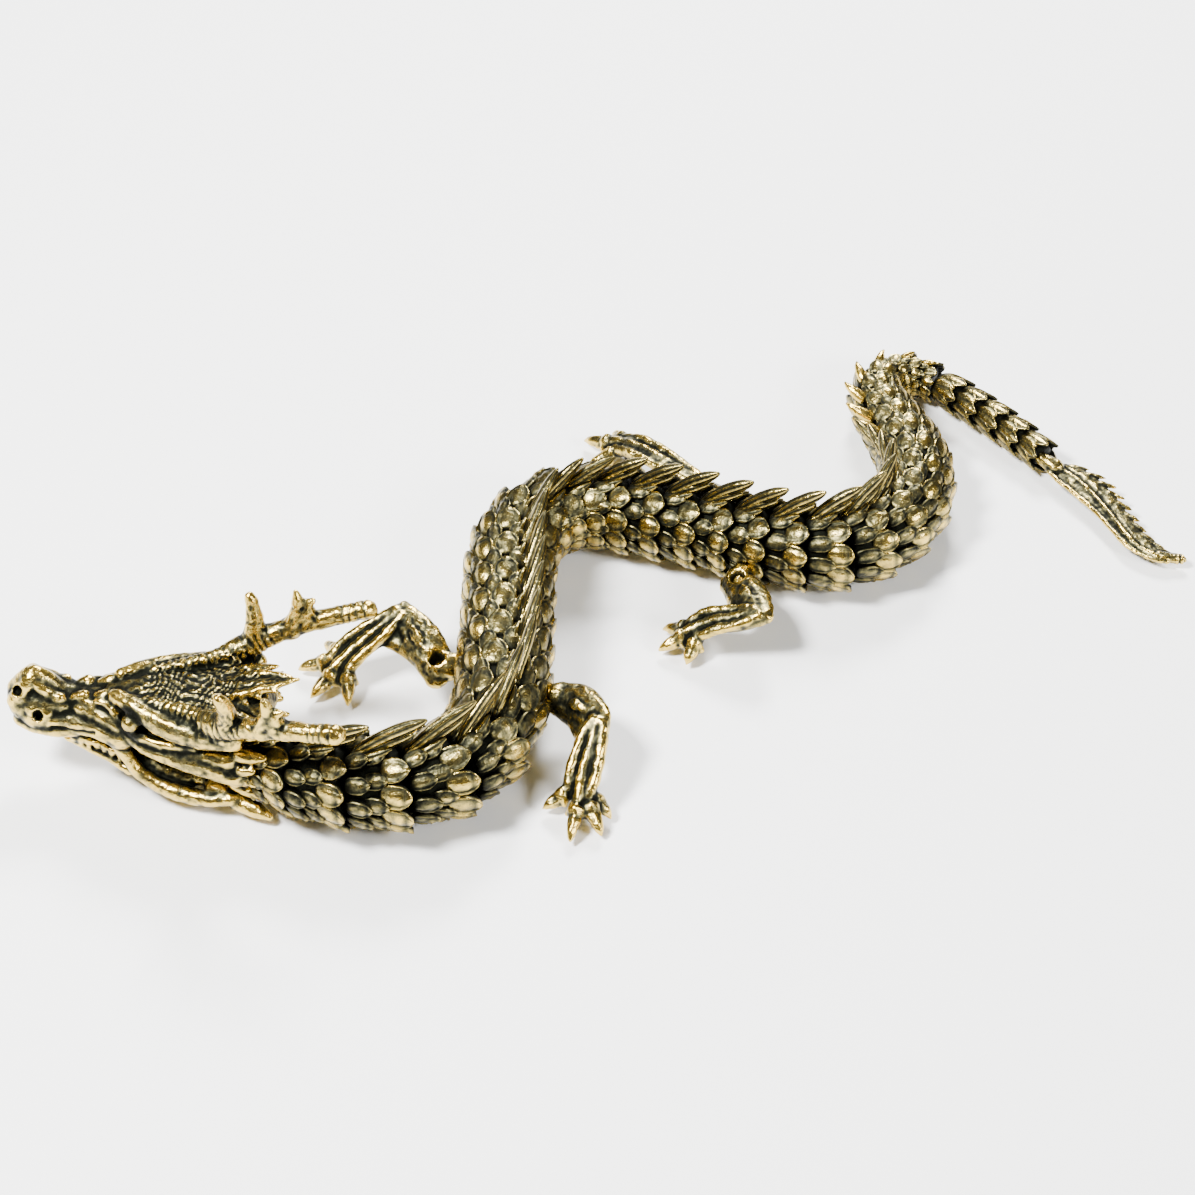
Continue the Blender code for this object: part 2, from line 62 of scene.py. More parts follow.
# Route of the body, as its castings have it: x, y, radius, pitch, lean to the right, crest height
BODY_ROUTE: tuple[Row, ...] = (
    (-59.8, -41.6, 8.0, 9.2, 0.0, 4.6),
    (-51.5, -46.4, 9.0, 9.2, 0.0, 5.4),
    (-43.0, -48.9, 9.3, 9.2, 0.0, 5.6),
    (-34.3, -48.9, 9.3, 9.1, 0.0, 5.6),
    (-27.4, -47.0, 9.3, 8.8, 4.0, 5.6),
    (-22.0, -42.6, 9.1, 8.4, 10.0, 5.4),
    (-18.6, -35.6, 9.1, 8.0, 18.0, 5.4),
    (-17.1, -26.7, 9.1, 7.6, 26.0, 5.2),
    (-16.4, -5.2, 9.0, 6.9, 30.0, 5.0),
    (-16.4, 4.4, 9.0, 6.9, 26.0, 5.0),
    (-15.3, 13.4, 8.8, 6.9, 18.0, 5.0),
    (-12.2, 20.2, 8.7, 6.9, 13.0, 5.0),
    (-6.4, 24.6, 8.6, 6.9, 8.0, 5.0),
    (1.2, 25.4, 8.6, 6.8, 0.0, 5.2),
    (19.5, 19.8, 8.6, 6.8, 0.0, 5.6),
    (28.8, 16.2, 8.6, 6.8, 0.0, 5.8),
    (38.1, 13.6, 8.6, 6.8, -5.0, 5.6),
    (46.6, 13.8, 8.5, 6.7, -12.0, 5.2),
    (54.7, 18.8, 8.3, 6.6, -24.0, 5.0),
    (60.2, 27.6, 7.9, 6.4, -42.0, 4.6),
    (61.6, 38.2, 7.4, 6.1, -58.0, 4.2),
    (59.7, 48.0, 6.7, 5.8, -62.0, 4.0),
    (56.7, 57.2, 6.1, 5.3, -54.0, 2.8),
    (56.0, 64.5, 5.4, 4.9, -40.0, 1.7),
    (58.9, 69.8, 4.7, 4.4, -24.0, 1.0),
    (64.0, 71.4, 4.2, 4.1, -10.0, 0.7),
    (68.9, 69.0, 3.9, 4.0, 0.0, 0.6),
)
LINK_ROUTE: tuple[Row, ...] = (
    (69.0, 68.4, 4.0, 5.7, 0.0, 0.4),
    (74.8, 62.5, 3.9, 5.7, 0.0, 0.4),
    (79.5, 57.2, 3.8, 5.7, 0.0, 0.4),
    (83.5, 52.6, 3.6, 5.7, 0.0, 0.4),
    (88.4, 45.8, 3.4, 5.7, 0.0, 0.4),
)

# Leaf at the end of the tail: x, y, middle height, half width
LEAF_ROUTE: tuple[Row, ...] = (
    (89.2, 44.6, 2.4, 1.9),
    (91.8, 43.0, 2.2, 3.7),
    (95.0, 39.7, 2.2, 4.5),
    (98.1, 34.6, 2.0, 4.0),
    (100.8, 28.6, 1.9, 3.4),
    (103.4, 22.8, 1.8, 3.0),
    (107.0, 19.2, 1.5, 1.8),
    (110.2, 18.4, 1.3, 1.0),
    (112.8, 18.3, 1.3, 0.9),
)


def catmull_rom(before: float, start: float, end: float, after: float, share: float) -> float:
    """Read a smooth curve between two values.

    Args:
        before, start, end, after: four values that follow each other.
        share: how far from start to end.
    Returns:
        The value there.
    """
    square = share * share
    cube = square * share
    return (
        (2 * cube - 3 * square + 1) * start
        + (cube - 2 * square + share) * (end - before) / 2
        + (3 * square - 2 * cube) * end
        + (cube - square) * (after - start) / 2
    )


def smooth_rows(rows: Sequence[Row], steps: int) -> list[Row]:
    """Put smooth steps between rows of numbers.

    Args:
        rows: the given rows.
        steps: steps from each row to the next.
    Returns:
        The finer rows, ends kept.
    """
    padded = [rows[0]] + list(rows) + [rows[-1]]
    fine = []
    for before, start, end, after in zip(padded, padded[1:], padded[2:], padded[3:]):
        for step in range(steps):
            columns = zip(before, start, end, after)
            fine.append(tuple(catmull_rom(*values, step / steps) for values in columns))
    fine.append(tuple(rows[-1]))
    return fine


def linear(hex_colour: str) -> tuple[float, float, float, float]:
    """Turn an sRGB hex colour such as #C9A64B into linear red, green, blue and alpha."""
    shares = [int(hex_colour[place:place + 2], 16) / 255 for place in (1, 3, 5)]
    return tuple(c / 12.92 if c <= 0.04045 else ((c + 0.055) / 1.055) ** 2.4 for c in shares) + (1.0,)


def add_node(tree: bpy.types.NodeTree, kind: str, links: dict | None = None, **settings) -> bpy.types.Node:
    """Add one node to a material.

    Args:
        tree: the material's nodes.
        kind: Blender's name of the node type.
        links: input name or index, to a socket that feeds it or a fixed value.
        settings: the node's own settings.
    Returns:
        The new node.
    """
    node = tree.nodes.new(kind)
    for key, value in settings.items():
        setattr(node, key, value)
    for key, value in (links or {}).items():
        if isinstance(value, Socket):
            tree.links.new(value, node.inputs[key])
        else:
            node.inputs[key].default_value = value
    return node


def add_object(name: str, data: bpy.types.ID) -> bpy.types.Object:
    """Add an object to the scene for a mesh, a light or a camera.

    Args:
        name: the object's name.
        data: what it shows.
    Returns:
        The new object.
    """
    thing = bpy.data.objects.new(name, data)
    bpy.context.scene.collection.objects.link(thing)
    return thing


def noise(tree: bpy.types.NodeTree, place: Socket, size: float, **inputs) -> Socket:
    """Add clouds of a size in mm; the further inputs are theirs, such as Detail."""
    values = {"Vector": place, "Scale": 1 / (size * METRES_PER_MM), **inputs}
    return add_node(tree, "ShaderNodeTexNoise", values).outputs["Fac"]


def reckon(tree: bpy.types.NodeTree, operation: str, *values, **settings) -> Socket:
    """Add a calculation with sockets and numbers."""
    inputs = dict(enumerate(values))
    return add_node(tree, "ShaderNodeMath", inputs, operation=operation, **settings).outputs[0]


def set_ramp(node: bpy.types.Node, stops: Sequence[tuple[float, str]]) -> None:
    """Give a colour ramp its stops.

    Args:
        node: the ramp.
        stops: for each stop its place and an sRGB hex colour.
    """
    ramp = node.color_ramp
    while len(ramp.elements) < len(stops):
        ramp.elements.new(0.5)
    for element, (place, colour) in zip(ramp.elements, stops):
        element.position = place
        element.color = linear(colour)


@dataclass(frozen=True)
class AntiqueBrass:
    """Cast brass, tumbled and patinated: near-black patina in hollows, with painted shade in gaps, holes and
    eye sockets, warm yellow rubbed high spots.
    """

    patina_and_shade: str = "#11120D"
    deep: str = "#25251B"
    middle: str = "#47442E"
    warm: str = "#817546"
    rubbed: str = "#E1BF5A"
    grain_size: float = 0.35
    grain_share: float = 0.40
    grain_depth: float = 0.09
    blotch_size: float = 1.6
    blotch_share: float = 0.50
    dent_size: float = 1.1
    dent_depth: float = 0.30
    # Taken off the shine after blotches and grain, which only add to it
    tarnish: float = 0.20
    matt: float = 0.60
    glossy: float = 0.23

    def material(self, name: str) -> bpy.types.Material:
        """Make the finish.

        Args:
            name: the material's name.
        Returns:
            The material, which reads the pieces' own shine attribute.
        """
        material = bpy.data.materials.new(name)
        material.use_nodes = True
        tree = material.node_tree
        shader = tree.nodes["Principled BSDF"]
        place = add_node(tree, "ShaderNodeTexCoord").outputs["Object"]
        shine = add_node(tree, "ShaderNodeAttribute", attribute_name=SHINE).outputs["Fac"]
        # Blotches where the polishing wheel rubbed more or less of the patina away
        blotch = noise(tree, place, self.blotch_size, Detail=3.0, Roughness=0.6)
        grain = noise(tree, place, self.grain_size, Detail=4.0, Roughness=0.65)
        uneven = reckon(tree, "MULTIPLY_ADD", blotch, self.blotch_share, -self.blotch_share / 2)
        specks = reckon(tree, "MULTIPLY_ADD", grain, self.grain_share, uneven)
        level = reckon(tree, "ADD", specks, -self.tarnish)
        worn = reckon(tree, "ADD", shine, level, use_clamp=True)
        colour = add_node(tree, "ShaderNodeValToRGB", {"Fac": worn})
        colours = (self.patina_and_shade, self.deep, self.middle, self.warm, self.rubbed)
        set_ramp(colour, tuple(zip((0.12, 0.30, 0.48, 0.72, 1.0), colours)))
        # Patina is matt, rubbed metal is glossy but never a mirror
        gloss = add_node(tree, "ShaderNodeMapRange", {
            "Value": worn, "From Min": 0.1, "From Max": 0.8, "To Min": self.matt, "To Max": self.glossy,
        })
        # Cast skin: soft dents with a fine grain on them
        dents = noise(tree, place, self.dent_size, Detail=2.0)
        dented = add_node(tree, "ShaderNodeBump", {
            "Height": dents, "Strength": 0.7, "Distance": self.dent_depth * METRES_PER_MM,
        })
        bump = add_node(tree, "ShaderNodeBump", {
            "Height": grain, "Normal": dented.outputs["Normal"], "Strength": 0.5,
            "Distance": self.grain_depth * METRES_PER_MM,
        })
        tree.links.new(colour.outputs["Color"], shader.inputs["Base Color"])
        tree.links.new(gloss.outputs["Result"], shader.inputs["Roughness"])
        tree.links.new(bump.outputs["Normal"], shader.inputs["Normal"])
        shader.inputs["Metallic"].default_value = 1.0
        return material


@dataclass(frozen=True)
class PaperSweep:
    """White studio paper, rolled out flat: matt, without a pattern that shows."""

    colour: str = "#FAFAF9"
    fibre: str = "#FCFCFB"
    fibre_size: float = 6.0
    roughness: float = 0.9

    def material(self) -> bpy.types.Material:
        """Make the finish.

        Returns:
            The floor's material.
        """
        material = bpy.data.materials.new("white_studio_paper")
        material.use_nodes = True
        tree = material.node_tree
        shader = tree.nodes["Principled BSDF"]
        place = add_node(tree, "ShaderNodeTexCoord").outputs["Object"]
        shade = add_node(tree, "ShaderNodeValToRGB", {"Fac": noise(tree, place, self.fibre_size)})
        set_ramp(shade, ((0.0, self.colour), (1.0, self.fibre)))
        tree.links.new(shade.outputs["Color"], shader.inputs["Base Color"])
        shader.inputs["Roughness"].default_value = self.roughness
        return material


class Workshop:
    """Tools that every casting is made with."""

    # Rings that round off a bar's end: reach and size, as shares of its radius
    END_RINGS = ((0.85, 0.45), (0.5, 0.82))
    # Below this sine of the angle between a path and its hint, the hint says nothing
    ALIGNED = 0.15
    # Shine on the ridges and in the flutes of a swept form
    RIDGE_SHINE = 0.95
    FLUTE_SHINE = 0.22

    @classmethod
    def ring_place(cls, spot: Vector, along: Vector, hint: Vector, width: float, height: float) -> Matrix:
        """Place a unit circle across a path.

        Args:
            spot: the middle of the circle.
            along: the direction of the path.
            hint: roughly which way the section's height points.
            width, height: the section's half sizes.
        Returns:
            The matrix that carries the circle there.
        """
        side = along.cross(hint)
        if side.length < cls.ALIGNED:
            side = along.cross(Vector((1.0, 0.0, 0.0)))
        side.normalize()
        over = side.cross(along)
        matrix = Matrix((side * width, over * height, along)).transposed().to_4x4()
        matrix.translation = spot
        return matrix

    @classmethod
    def sweep(cls, rows: Sequence[Row], sides: int = 12, hint: Vector = UP, flute: float = 0.0) -> Shape:
        """Extrude a circle along a path.

        Args:
            rows: x, y, z, half width and half height of the section.
            sides: points around the section.
            hint: which way the section's height points.
            flute: how deep every second point is drawn in.
        Returns:
            One closed shape with a shine value at each point.
        """
        surface = bmesh.new()
        shine = surface.verts.layers.float.new(SHINE)
        spots = [Vector(row[:3]) for row in rows]
        made = bmesh.ops.create_circle(surface, cap_ends=True, segments=sides, radius=1.0)["verts"]
        for vert in made:
            step = round(math.atan2(vert.co.y, vert.co.x) / (2 * math.pi / sides))
            vert[shine] = cls.FLUTE_SHINE if flute and step % 2 else cls.RIDGE_SHINE
            if step % 2:
                vert.co *= 1.0 - flute
        last = Matrix.Identity(4)
        verts = list(made)
        edges = list(surface.edges)
        for index, row in enumerate(rows):
            before = spots[max(index - 1, 0)]
            after = spots[min(index + 1, len(spots) - 1)]
            place = cls.ring_place(spots[index], (after - before).normalized(), hint, row[3], row[4])
            if index:
                grown = bmesh.ops.extrude_edge_only(surface, edges=edges)["geom"]
                verts = [item for item in grown if isinstance(item, bmesh.types.BMVert)]
                edges = [item for item in grown if isinstance(item, bmesh.types.BMEdge)]
            bmesh.ops.transform(surface, matrix=place @ last.inverted(), verts=verts)
            last = place
        bmesh.ops.contextual_create(surface, geom=edges)
        bmesh.ops.recalc_face_normals(surface, faces=surface.faces)
        return surface

    @classmethod
    def bar(cls, rows: Sequence[Row], sides: int = 12, steps: int = 3, flat: float = 1.0,
            hint: Vector = UP, flute: float = 0.0) -> Shape:
        """Make a rounded bar through points, each with a radius.

        Args:
            rows: x, y, z and radius.
            sides: points around the section.
            steps: smooth steps between the rows.
            flat: height of the section, as a share of its width.
            hint: which way the section's height points.
            flute: how deep every second point is drawn in.
        Returns:
            One closed shape with round ends.
        """
        fine = smooth_rows(rows, steps)
        caps = []
        for row, beside in ((fine[0], fine[1]), (fine[-1], fine[-2])):
            spot = Vector(row[:3])
            away = (spot - Vector(beside[:3])).normalized()
            caps.append([
                tuple(spot + away * row[3] * reach) + (row[3] * share,) for reach, share in cls.END_RINGS])
        full = caps[0] + fine + caps[1][::-1]
        return cls.sweep([row[:3] + (row[3], row[3] * flat) for row in full], sides, hint, flute)

    @classmethod
    def rod(cls, spots: Iterable[tuple[Vector, float]], *shape, **settings) -> Shape:
        """Make a bar through spots, each with a radius; what follows goes to the bar."""
        return cls.bar([(*spot, radius) for spot, radius in spots], *shape, **settings)

    @staticmethod
    def bead(centre: Sequence[float], radii: Sequence[float]) -> Shape:
        """Make a round or oval bead.

        Args:
            centre: its middle.
            radii: its radii along x, y and z.
        Returns:
            One closed shape.
        """
        surface = bmesh.new()
        surface.verts.layers.float.new(SHINE)
        matrix = Matrix.Translation(Vector(centre)) @ Matrix.Diagonal((*radii, 1.0))
        bmesh.ops.create_icosphere(surface, subdivisions=2, radius=1.0, matrix=matrix)
        return surface

    @staticmethod
    def joined(surfaces: Iterable[Shape]) -> bpy.types.Mesh:
        """Put closed shapes together, and free them.

        Args:
            surfaces: the shapes, in mm.
        Returns:
            One mesh with all of them.
        """
        whole = bmesh.new()
        whole.verts.layers.float.new(SHINE)
        for surface in surfaces:
            part = bpy.data.meshes.new("part")
            surface.to_mesh(part)
            surface.free()
            whole.from_mesh(part)
            bpy.data.meshes.remove(part)
        mesh = bpy.data.meshes.new("joined")
        whole.to_mesh(mesh)
        whole.free()
        return mesh

    @classmethod
    def cast(cls, surfaces: Iterable[Shape], voxel: float) -> bpy.types.Mesh:
        """Melt overlapping closed shapes into one skin.

        Args:
            surfaces: the shapes, in mm.
            voxel: the skin's face size.
        Returns:
            The mesh, in mm.
        """
        rough = add_object("rough", cls.joined(surfaces))
        remesh = rough.modifiers.new("melt", "REMESH")
        remesh.mode = "VOXEL"
        remesh.voxel_size = voxel
        depsgraph = bpy.context.evaluated_depsgraph_get()
        mesh = bpy.data.meshes.new_from_object(rough.evaluated_get(depsgraph))
        bpy.data.objects.remove(rough, do_unlink=True)
        return mesh

    @staticmethod
    def mirrored(rows: Sequence[Row]) -> tuple[Row, ...]:
        """Return rows for the other side of the head, where y is turned over."""
        return tuple((row[0], -row[1]) + tuple(row[2:]) for row in rows)


class Chisel:
    """Fine carving on a finished skin: moves its points and works out where the metal shines."""

    # What a form adds to the shine, and the height in mm at which it has added most of that
    FINE_FORM = (0.28, 0.035)
    BROAD_FORM = (0.40, 0.20)
    # What wear adds: share, size of the patches in mm, seed
    WEAR = ((0.30, 1.4, 3), (0.25, 0.6, 4))

    def __init__(self, mesh: bpy.types.Mesh) -> None:
        """Read the skin.

        Args:
            mesh: the skin that is to be carved.
        """
        self.mesh = mesh
        count = len(mesh.vertices)
        self.points = np.empty(count * 3, dtype=np.float64)
        mesh.vertices.foreach_get("co", self.points)
        self.points = self.points.reshape(-1, 3)
        edges = np.empty(len(mesh.edges) * 2, dtype=np.int32)
        mesh.edges.foreach_get("vertices", edges)
        self.edges = edges.reshape(-1, 2)
        self.degree = np.bincount(self.edges.ravel(), minlength=count).astype(np.float64)[:, None]
        self.refresh()

    def refresh(self) -> None:
        """Write the points back and read the normals again."""
        self.mesh.vertices.foreach_set("co", self.points.astype(np.float32).ravel())
        self.mesh.update()
        normals = np.empty(len(self.points) * 3, dtype=np.float32)
        self.mesh.vertices.foreach_get("normal", normals)
        self.normals = normals.reshape(-1, 3).astype(np.float64)

    def softened(self, values: np.ndarray, rounds: int) -> np.ndarray:
        """Average values with their neighbours'.

        Args:
            values: a row of values for every point.
            rounds: how many times.
        Returns:
            The softer values.
        """
        first, second = self.edges[:, 0], self.edges[:, 1]
        count = len(self.points)
        for _ in range(rounds):
            total = np.empty_like(values)
            for column in range(values.shape[1]):
                total[:, column] = (
                    np.bincount(first, weights=values[second, column], minlength=count)
                    + np.bincount(second, weights=values[first, column], minlength=count)
                )
            values = 0.5 * values + 0.5 * total / self.degree
        return values

    def smooth(self, rounds: int) -> None:
        """Rub the whole skin smoother."""
        self.points = self.softened(self.points, rounds)
        self.refresh()

    def push(self, amount: np.ndarray) -> None:
        """Move every point along its normal by an amount in mm."""
        self.points += self.normals * amount[:, None]

    def distance_to(self, line: np.ndarray, reach: float) -> tuple[np.ndarray, np.ndarray]:
        """Measure the distance from the points to a line.

        Args:
            line: the line's points.
            reach: how far from the line it is worth looking.
        Returns:
            The numbers of the points in reach, and their distances.
        """
        low = line.min(axis=0) - reach
        high = line.max(axis=0) + reach
        near = np.nonzero(np.all((self.points > low) & (self.points < high), axis=1))[0]
        best = np.full(len(near), reach * 2)
        for start, end in zip(line, line[1:]):
            step = end - start
            offset = self.points[near] - start
            share = np.clip(offset @ step / max(step @ step, 1e-9), 0, 1)
            best = np.minimum(best, np.linalg.norm(offset - share[:, None] * step, axis=1))
        return near, best

    def tree(self) -> BVHTree:
        """Return the skin as a search tree."""
        faces = [tuple(face.vertices) for face in self.mesh.polygons]
        return BVHTree.FromPolygons([tuple(point) for point in self.points], faces)

    def oval(self, centre: Sequence[float], radii: Sequence[float], steepness: float) -> np.ndarray:
        """Return for every point 1 well inside an oval region, and less towards its edge."""
        offset = (self.points - np.array(centre)) / np.array(radii)
        return np.clip(steepness * (1 - np.linalg.norm(offset, axis=1)), 0, 1)

    def cut(self, lines: Iterable[Sequence[Row]], width: float, depth: float) -> None:
        """Carve grooves along lines that are first laid on the skin.

        Args:
            lines: points x, y, z of each line, roughly on the skin.
            width: half width of the groove.
            depth: depth of the groove.
        """
        tree = self.tree()
        amount = np.zeros(len(self.points))
        for rows in lines:
            laid = [tree.find_nearest(Vector(row[:3]))[0] for row in smooth_rows(rows, 5)]
            near, best = self.distance_to(np.array([tuple(spot) for spot in laid]), width * 2.5)
            amount[near] = np.minimum(amount[near], -depth * np.exp(-(best / width) ** 2))
        self.push(amount)
        self.refresh()

    def ribs(self, rows: Sequence[Row], spacing: float, depth: float, reach: float) -> None:
        """Cut rings round a bar.

        Args:
            rows: the bar's points, as x, y, z and radius.
            spacing: distance from ring to ring.
            depth: depth of the rings.
            reach: how far outside the bar's radius the rings still bite.
        """
        fine = np.array(smooth_rows(rows, 8))
        coarse = fine[::2]
        steps = np.linalg.norm(np.diff(fine[:, :3], axis=0), axis=1)
        travelled = np.concatenate(([0.0], np.cumsum(steps)))
        away = np.linalg.norm(self.points[:, None, :] - coarse[None, :, :3], axis=2)
        nearest = away.argmin(axis=1)
        distance = away.min(axis=1)
        before = coarse[np.maximum(nearest - 1, 0), :3]
        after = coarse[np.minimum(nearest + 1, len(coarse) - 1), :3]
        along = after - before
        along /= np.linalg.norm(along, axis=1)[:, None]
        where = travelled[::2][nearest] + np.sum((self.points - coarse[nearest, :3]) * along, axis=1)
        bite = np.clip((coarse[nearest, 3] + reach - distance) / reach, 0, 1)
        inside = (where > 0) & (where < travelled[-1])
        wobble = 0.9 * np.sin(self.points[:, 0] * 1.7) + 0.7 * np.sin(self.points[:, 1] * 2.3)
        wave = np.minimum(np.sin(where * 2 * math.pi / spacing + wobble), 0.3)
        self.push(depth * bite * wave * inside)
        self.refresh()

    def hair(self, centre: Sequence[float], radii: Sequence[float], flow: Sequence[float],
             spacing: float, depth: float) -> None:
        """Comb strands into a region.

        Args:
            centre, radii: the oval region.
            flow: the direction of the strands.
            spacing: distance from strand to strand.
            depth: depth of the grooves between strands.
        """
        mask = self.oval(centre, radii, 1.6)
        line = np.array(flow) / np.linalg.norm(flow)
        across = np.cross(line, np.array((0.0, 0.0, 1.0)))
        across /= np.linalg.norm(across)
        over = np.cross(across, line)
        along = self.points @ line
        sway = 0.55 * np.sin(along * 0.9) + 0.25 * np.sin(along * 2.1 + 1.0)
        wave = np.sin((self.points @ across + sway) * 2 * math.pi / spacing)
        wave += 0.6 * np.sin((self.points @ over + sway) * 2 * math.pi / (spacing * 1.2) + along)
        broken = 0.75 + 0.25 * np.sin(along * 2.7 + 2.0 * np.sin(self.points @ across * 1.9))
        self.push(depth * mask * np.clip(wave, -1, 0.7) * broken)
        self.refresh()

    def drill(self, mouth: Sequence[float], inward: Sequence[float], radius: float,
              depth: float) -> np.ndarray:
        """Press a round hole into the skin.

        Args:
            mouth: a point outside the skin, where the drill starts.
            inward: direction of the drill.
            radius, depth: size of the hole.
        Returns:
            For every point, how deep in the hole it is, from 0 to 1.
        """
        line = np.array(inward) / np.linalg.norm(inward)
        hit = self.tree().ray_cast(Vector(mouth), Vector(line))[0]
        if hit is None:
            return np.zeros(len(self.points))
        offset = self.points - np.array(hit)
        along = offset @ line
        aside = np.linalg.norm(offset - along[:, None] * line, axis=1)
        near = np.abs(along) < radius * 1.6
        share = np.clip((radius * 1.15 - aside) / (radius * 0.45), 0, 1) * near
        self.points += line * (share * depth)[:, None]
        self.refresh()
        return share

    def lumps(self, size: float, seed: int) -> np.ndarray:
        """Read soft, seeded lumps at every point.

        Args:
            size: distance from lump to lump.
            seed: picks the pattern.
        Returns:
            A value from -0.5 to 0.5 at every point.
        """
        count = 32
        table = np.random.default_rng(seed).random((count, count, count)) - 0.5
        place = self.points / size
        cell = np.floor(place).astype(int)
        share = place - cell
        share = share * share * (3 - 2 * share)
        total = np.zeros(len(self.points))
        for corner in itertools.product((0, 1), repeat=3):
            weight = np.prod(np.where(corner, share, 1 - share), axis=1)
            spot = (cell + corner) % count
            total += weight * table[spot[:, 0], spot[:, 1], spot[:, 2]]
        return total

    def roughen(self, size: float, depth: float, seed: int) -> None:
        """Give the skin the soft unevenness of a lost-wax casting, of a size and a depth."""
        self.push(depth * self.lumps(size, seed))
        self.refresh()

    def pebble(self, centre: Sequence[float], radii: Sequence[float], spacing: float, depth: float) -> None:
        """Cover a region with small bumps.

        Args:
            centre, radii: the oval region.
            spacing: distance from bump to bump.
            depth: depth of the furrows between the bumps.
        """
        mask = self.oval(centre, radii, 1.8)
        turn = 2 * math.pi / spacing
        # The rows of bumps wander, each way by its own lumps
        x, y = (self.points[:, axis] + spacing * self.lumps(spacing * 1.5, 5 + axis) * 2.2 for axis in (0, 1))
        first = np.cos(turn * (x + 0.4 * y))
        second = np.cos(turn * (0.5 * x - y))
        self.push(depth * mask * np.clip(first * second - 0.25, -0.6, 0.5))
        self.refresh()

    def shine(self, fine_rounds: int, broad_rounds: int, base: float) -> np.ndarray:
        """Work out where the metal is rubbed: ridges shine, grooves and hollows keep their patina.

        Args:
            fine_rounds, broad_rounds: smoothing that tells small and large forms from their surroundings.
            base: shine of a plain, level place.
        Returns:
            A value from 0 to 1 at every point.
        """
        value = base
        for rounds, (share, height) in ((fine_rounds, self.FINE_FORM), (broad_rounds, self.BROAD_FORM)):
            proud = np.sum((self.points - self.softened(self.points, rounds)) * self.normals, axis=1)
            value = value + share * np.tanh(proud / height)
        for share, size, seed in self.WEAR:
            value = value + share * self.lumps(size, seed)
        return np.clip(value, 0, 1)

    def keep(self, shine: np.ndarray) -> None:
        """Store the shine values on the mesh."""
        layer = self.mesh.attributes.get(SHINE) or self.mesh.attributes.new(SHINE, "FLOAT", "POINT")
        layer.data.foreach_set("value", shine.astype(np.float32))


@dataclass
class Dressing:
    """Places finished castings in the scene, in the pose that the model lies in."""

    brass: bpy.types.Material
    pieces: int = 0
    triangles: int = 0

    def place(self, name: str, mesh: bpy.types.Mesh, nodes: Sequence[str],
              seat: Matrix | None = None) -> None:
        """Put one casting in place of its solids.

        Args:
            name: the piece's name.
            mesh: its mesh, in mm.
            nodes: the solids that it stands for.
            seat: its own frame in the pose, or None when it was made there.
        """
        mesh.name = name
        if seat is not None:
            mesh.transform(seat)
        mesh.transform(Matrix.Scale(METRES_PER_MM, 4) @ Matrix.Translation(-POSE_CENTRE))
        mesh.materials.clear()
        mesh.materials.append(self.brass)
        mesh.shade_smooth()
        piece = add_object(name, mesh)
        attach(piece, "root")
        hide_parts(*nodes)
        count = sum(len(face.vertices) - 2 for face in mesh.polygons)
        self.pieces += 1
        self.triangles += count
        LOG.info("%s: %d triangles", name, count)


@dataclass
class Chain:
    """The joints of a row of castings, and the frame of each of them."""

    rows: Sequence[Row]
    joints: list[Row] = field(init=False)
    frames: list[Matrix] = field(init=False)

    def __post_init__(self) -> None:
        """March along the route, a pitch at a time."""
        fine = smooth_rows(self.rows, 40)
        self.joints = [fine[0]]
        travelled = 0.0
        for last, row in zip(fine, fine[1:]):
            travelled += math.dist(last[:2], row[:2])
            if travelled >= self.joints[-1][3]:
                self.joints.append(row)
                travelled = 0.0
        places = [Vector(row[:3]) for row in self.joints]
        self.frames = []
        for index, row in enumerate(self.joints[:-1]):
            along = (places[index + 1] - places[index]).normalized()
            left = UP.cross(along).normalized()
            up = Matrix.Rotation(math.radians(row[4]), 4, along) @ along.cross(left)
            seat = Matrix((along, up.cross(along), up)).transposed().to_4x4()
            seat.translation = places[index]
            self.frames.append(seat)

    def pitch(self, index: int) -> float:
        """Return the distance from one joint to the next."""
        return math.dist(self.joints[index][:2], self.joints[index + 1][:2])

    def nearest(self, point: Sequence[float]) -> int:
        """Find the segment whose middle is nearest to a point.

        Args:
            point: its x, y and z.
        Returns:
            The segment's number.
        """
        spot = Vector(point)
        middles = [seat @ Vector((row[3] / 2, 0, 0)) for seat, row in zip(self.frames, self.joints)]
        return min(range(len(middles)), key=lambda index: (middles[index] - spot).length)


@dataclass(frozen=True)
class ScaleForm:
    """Form of one kind of scale.

    rows: from root to tip, shares of the length, the half width and the height, and the shine.
    columns: from the edge to the middle, shares of the half width and the height, and the shine.
    marks: how deeply the face is marked, as a share of the height.
    """

    rows: tuple[tuple[float, float, float, float], ...]
    columns: tuple[tuple[float, float, float], ...]
    marks: float


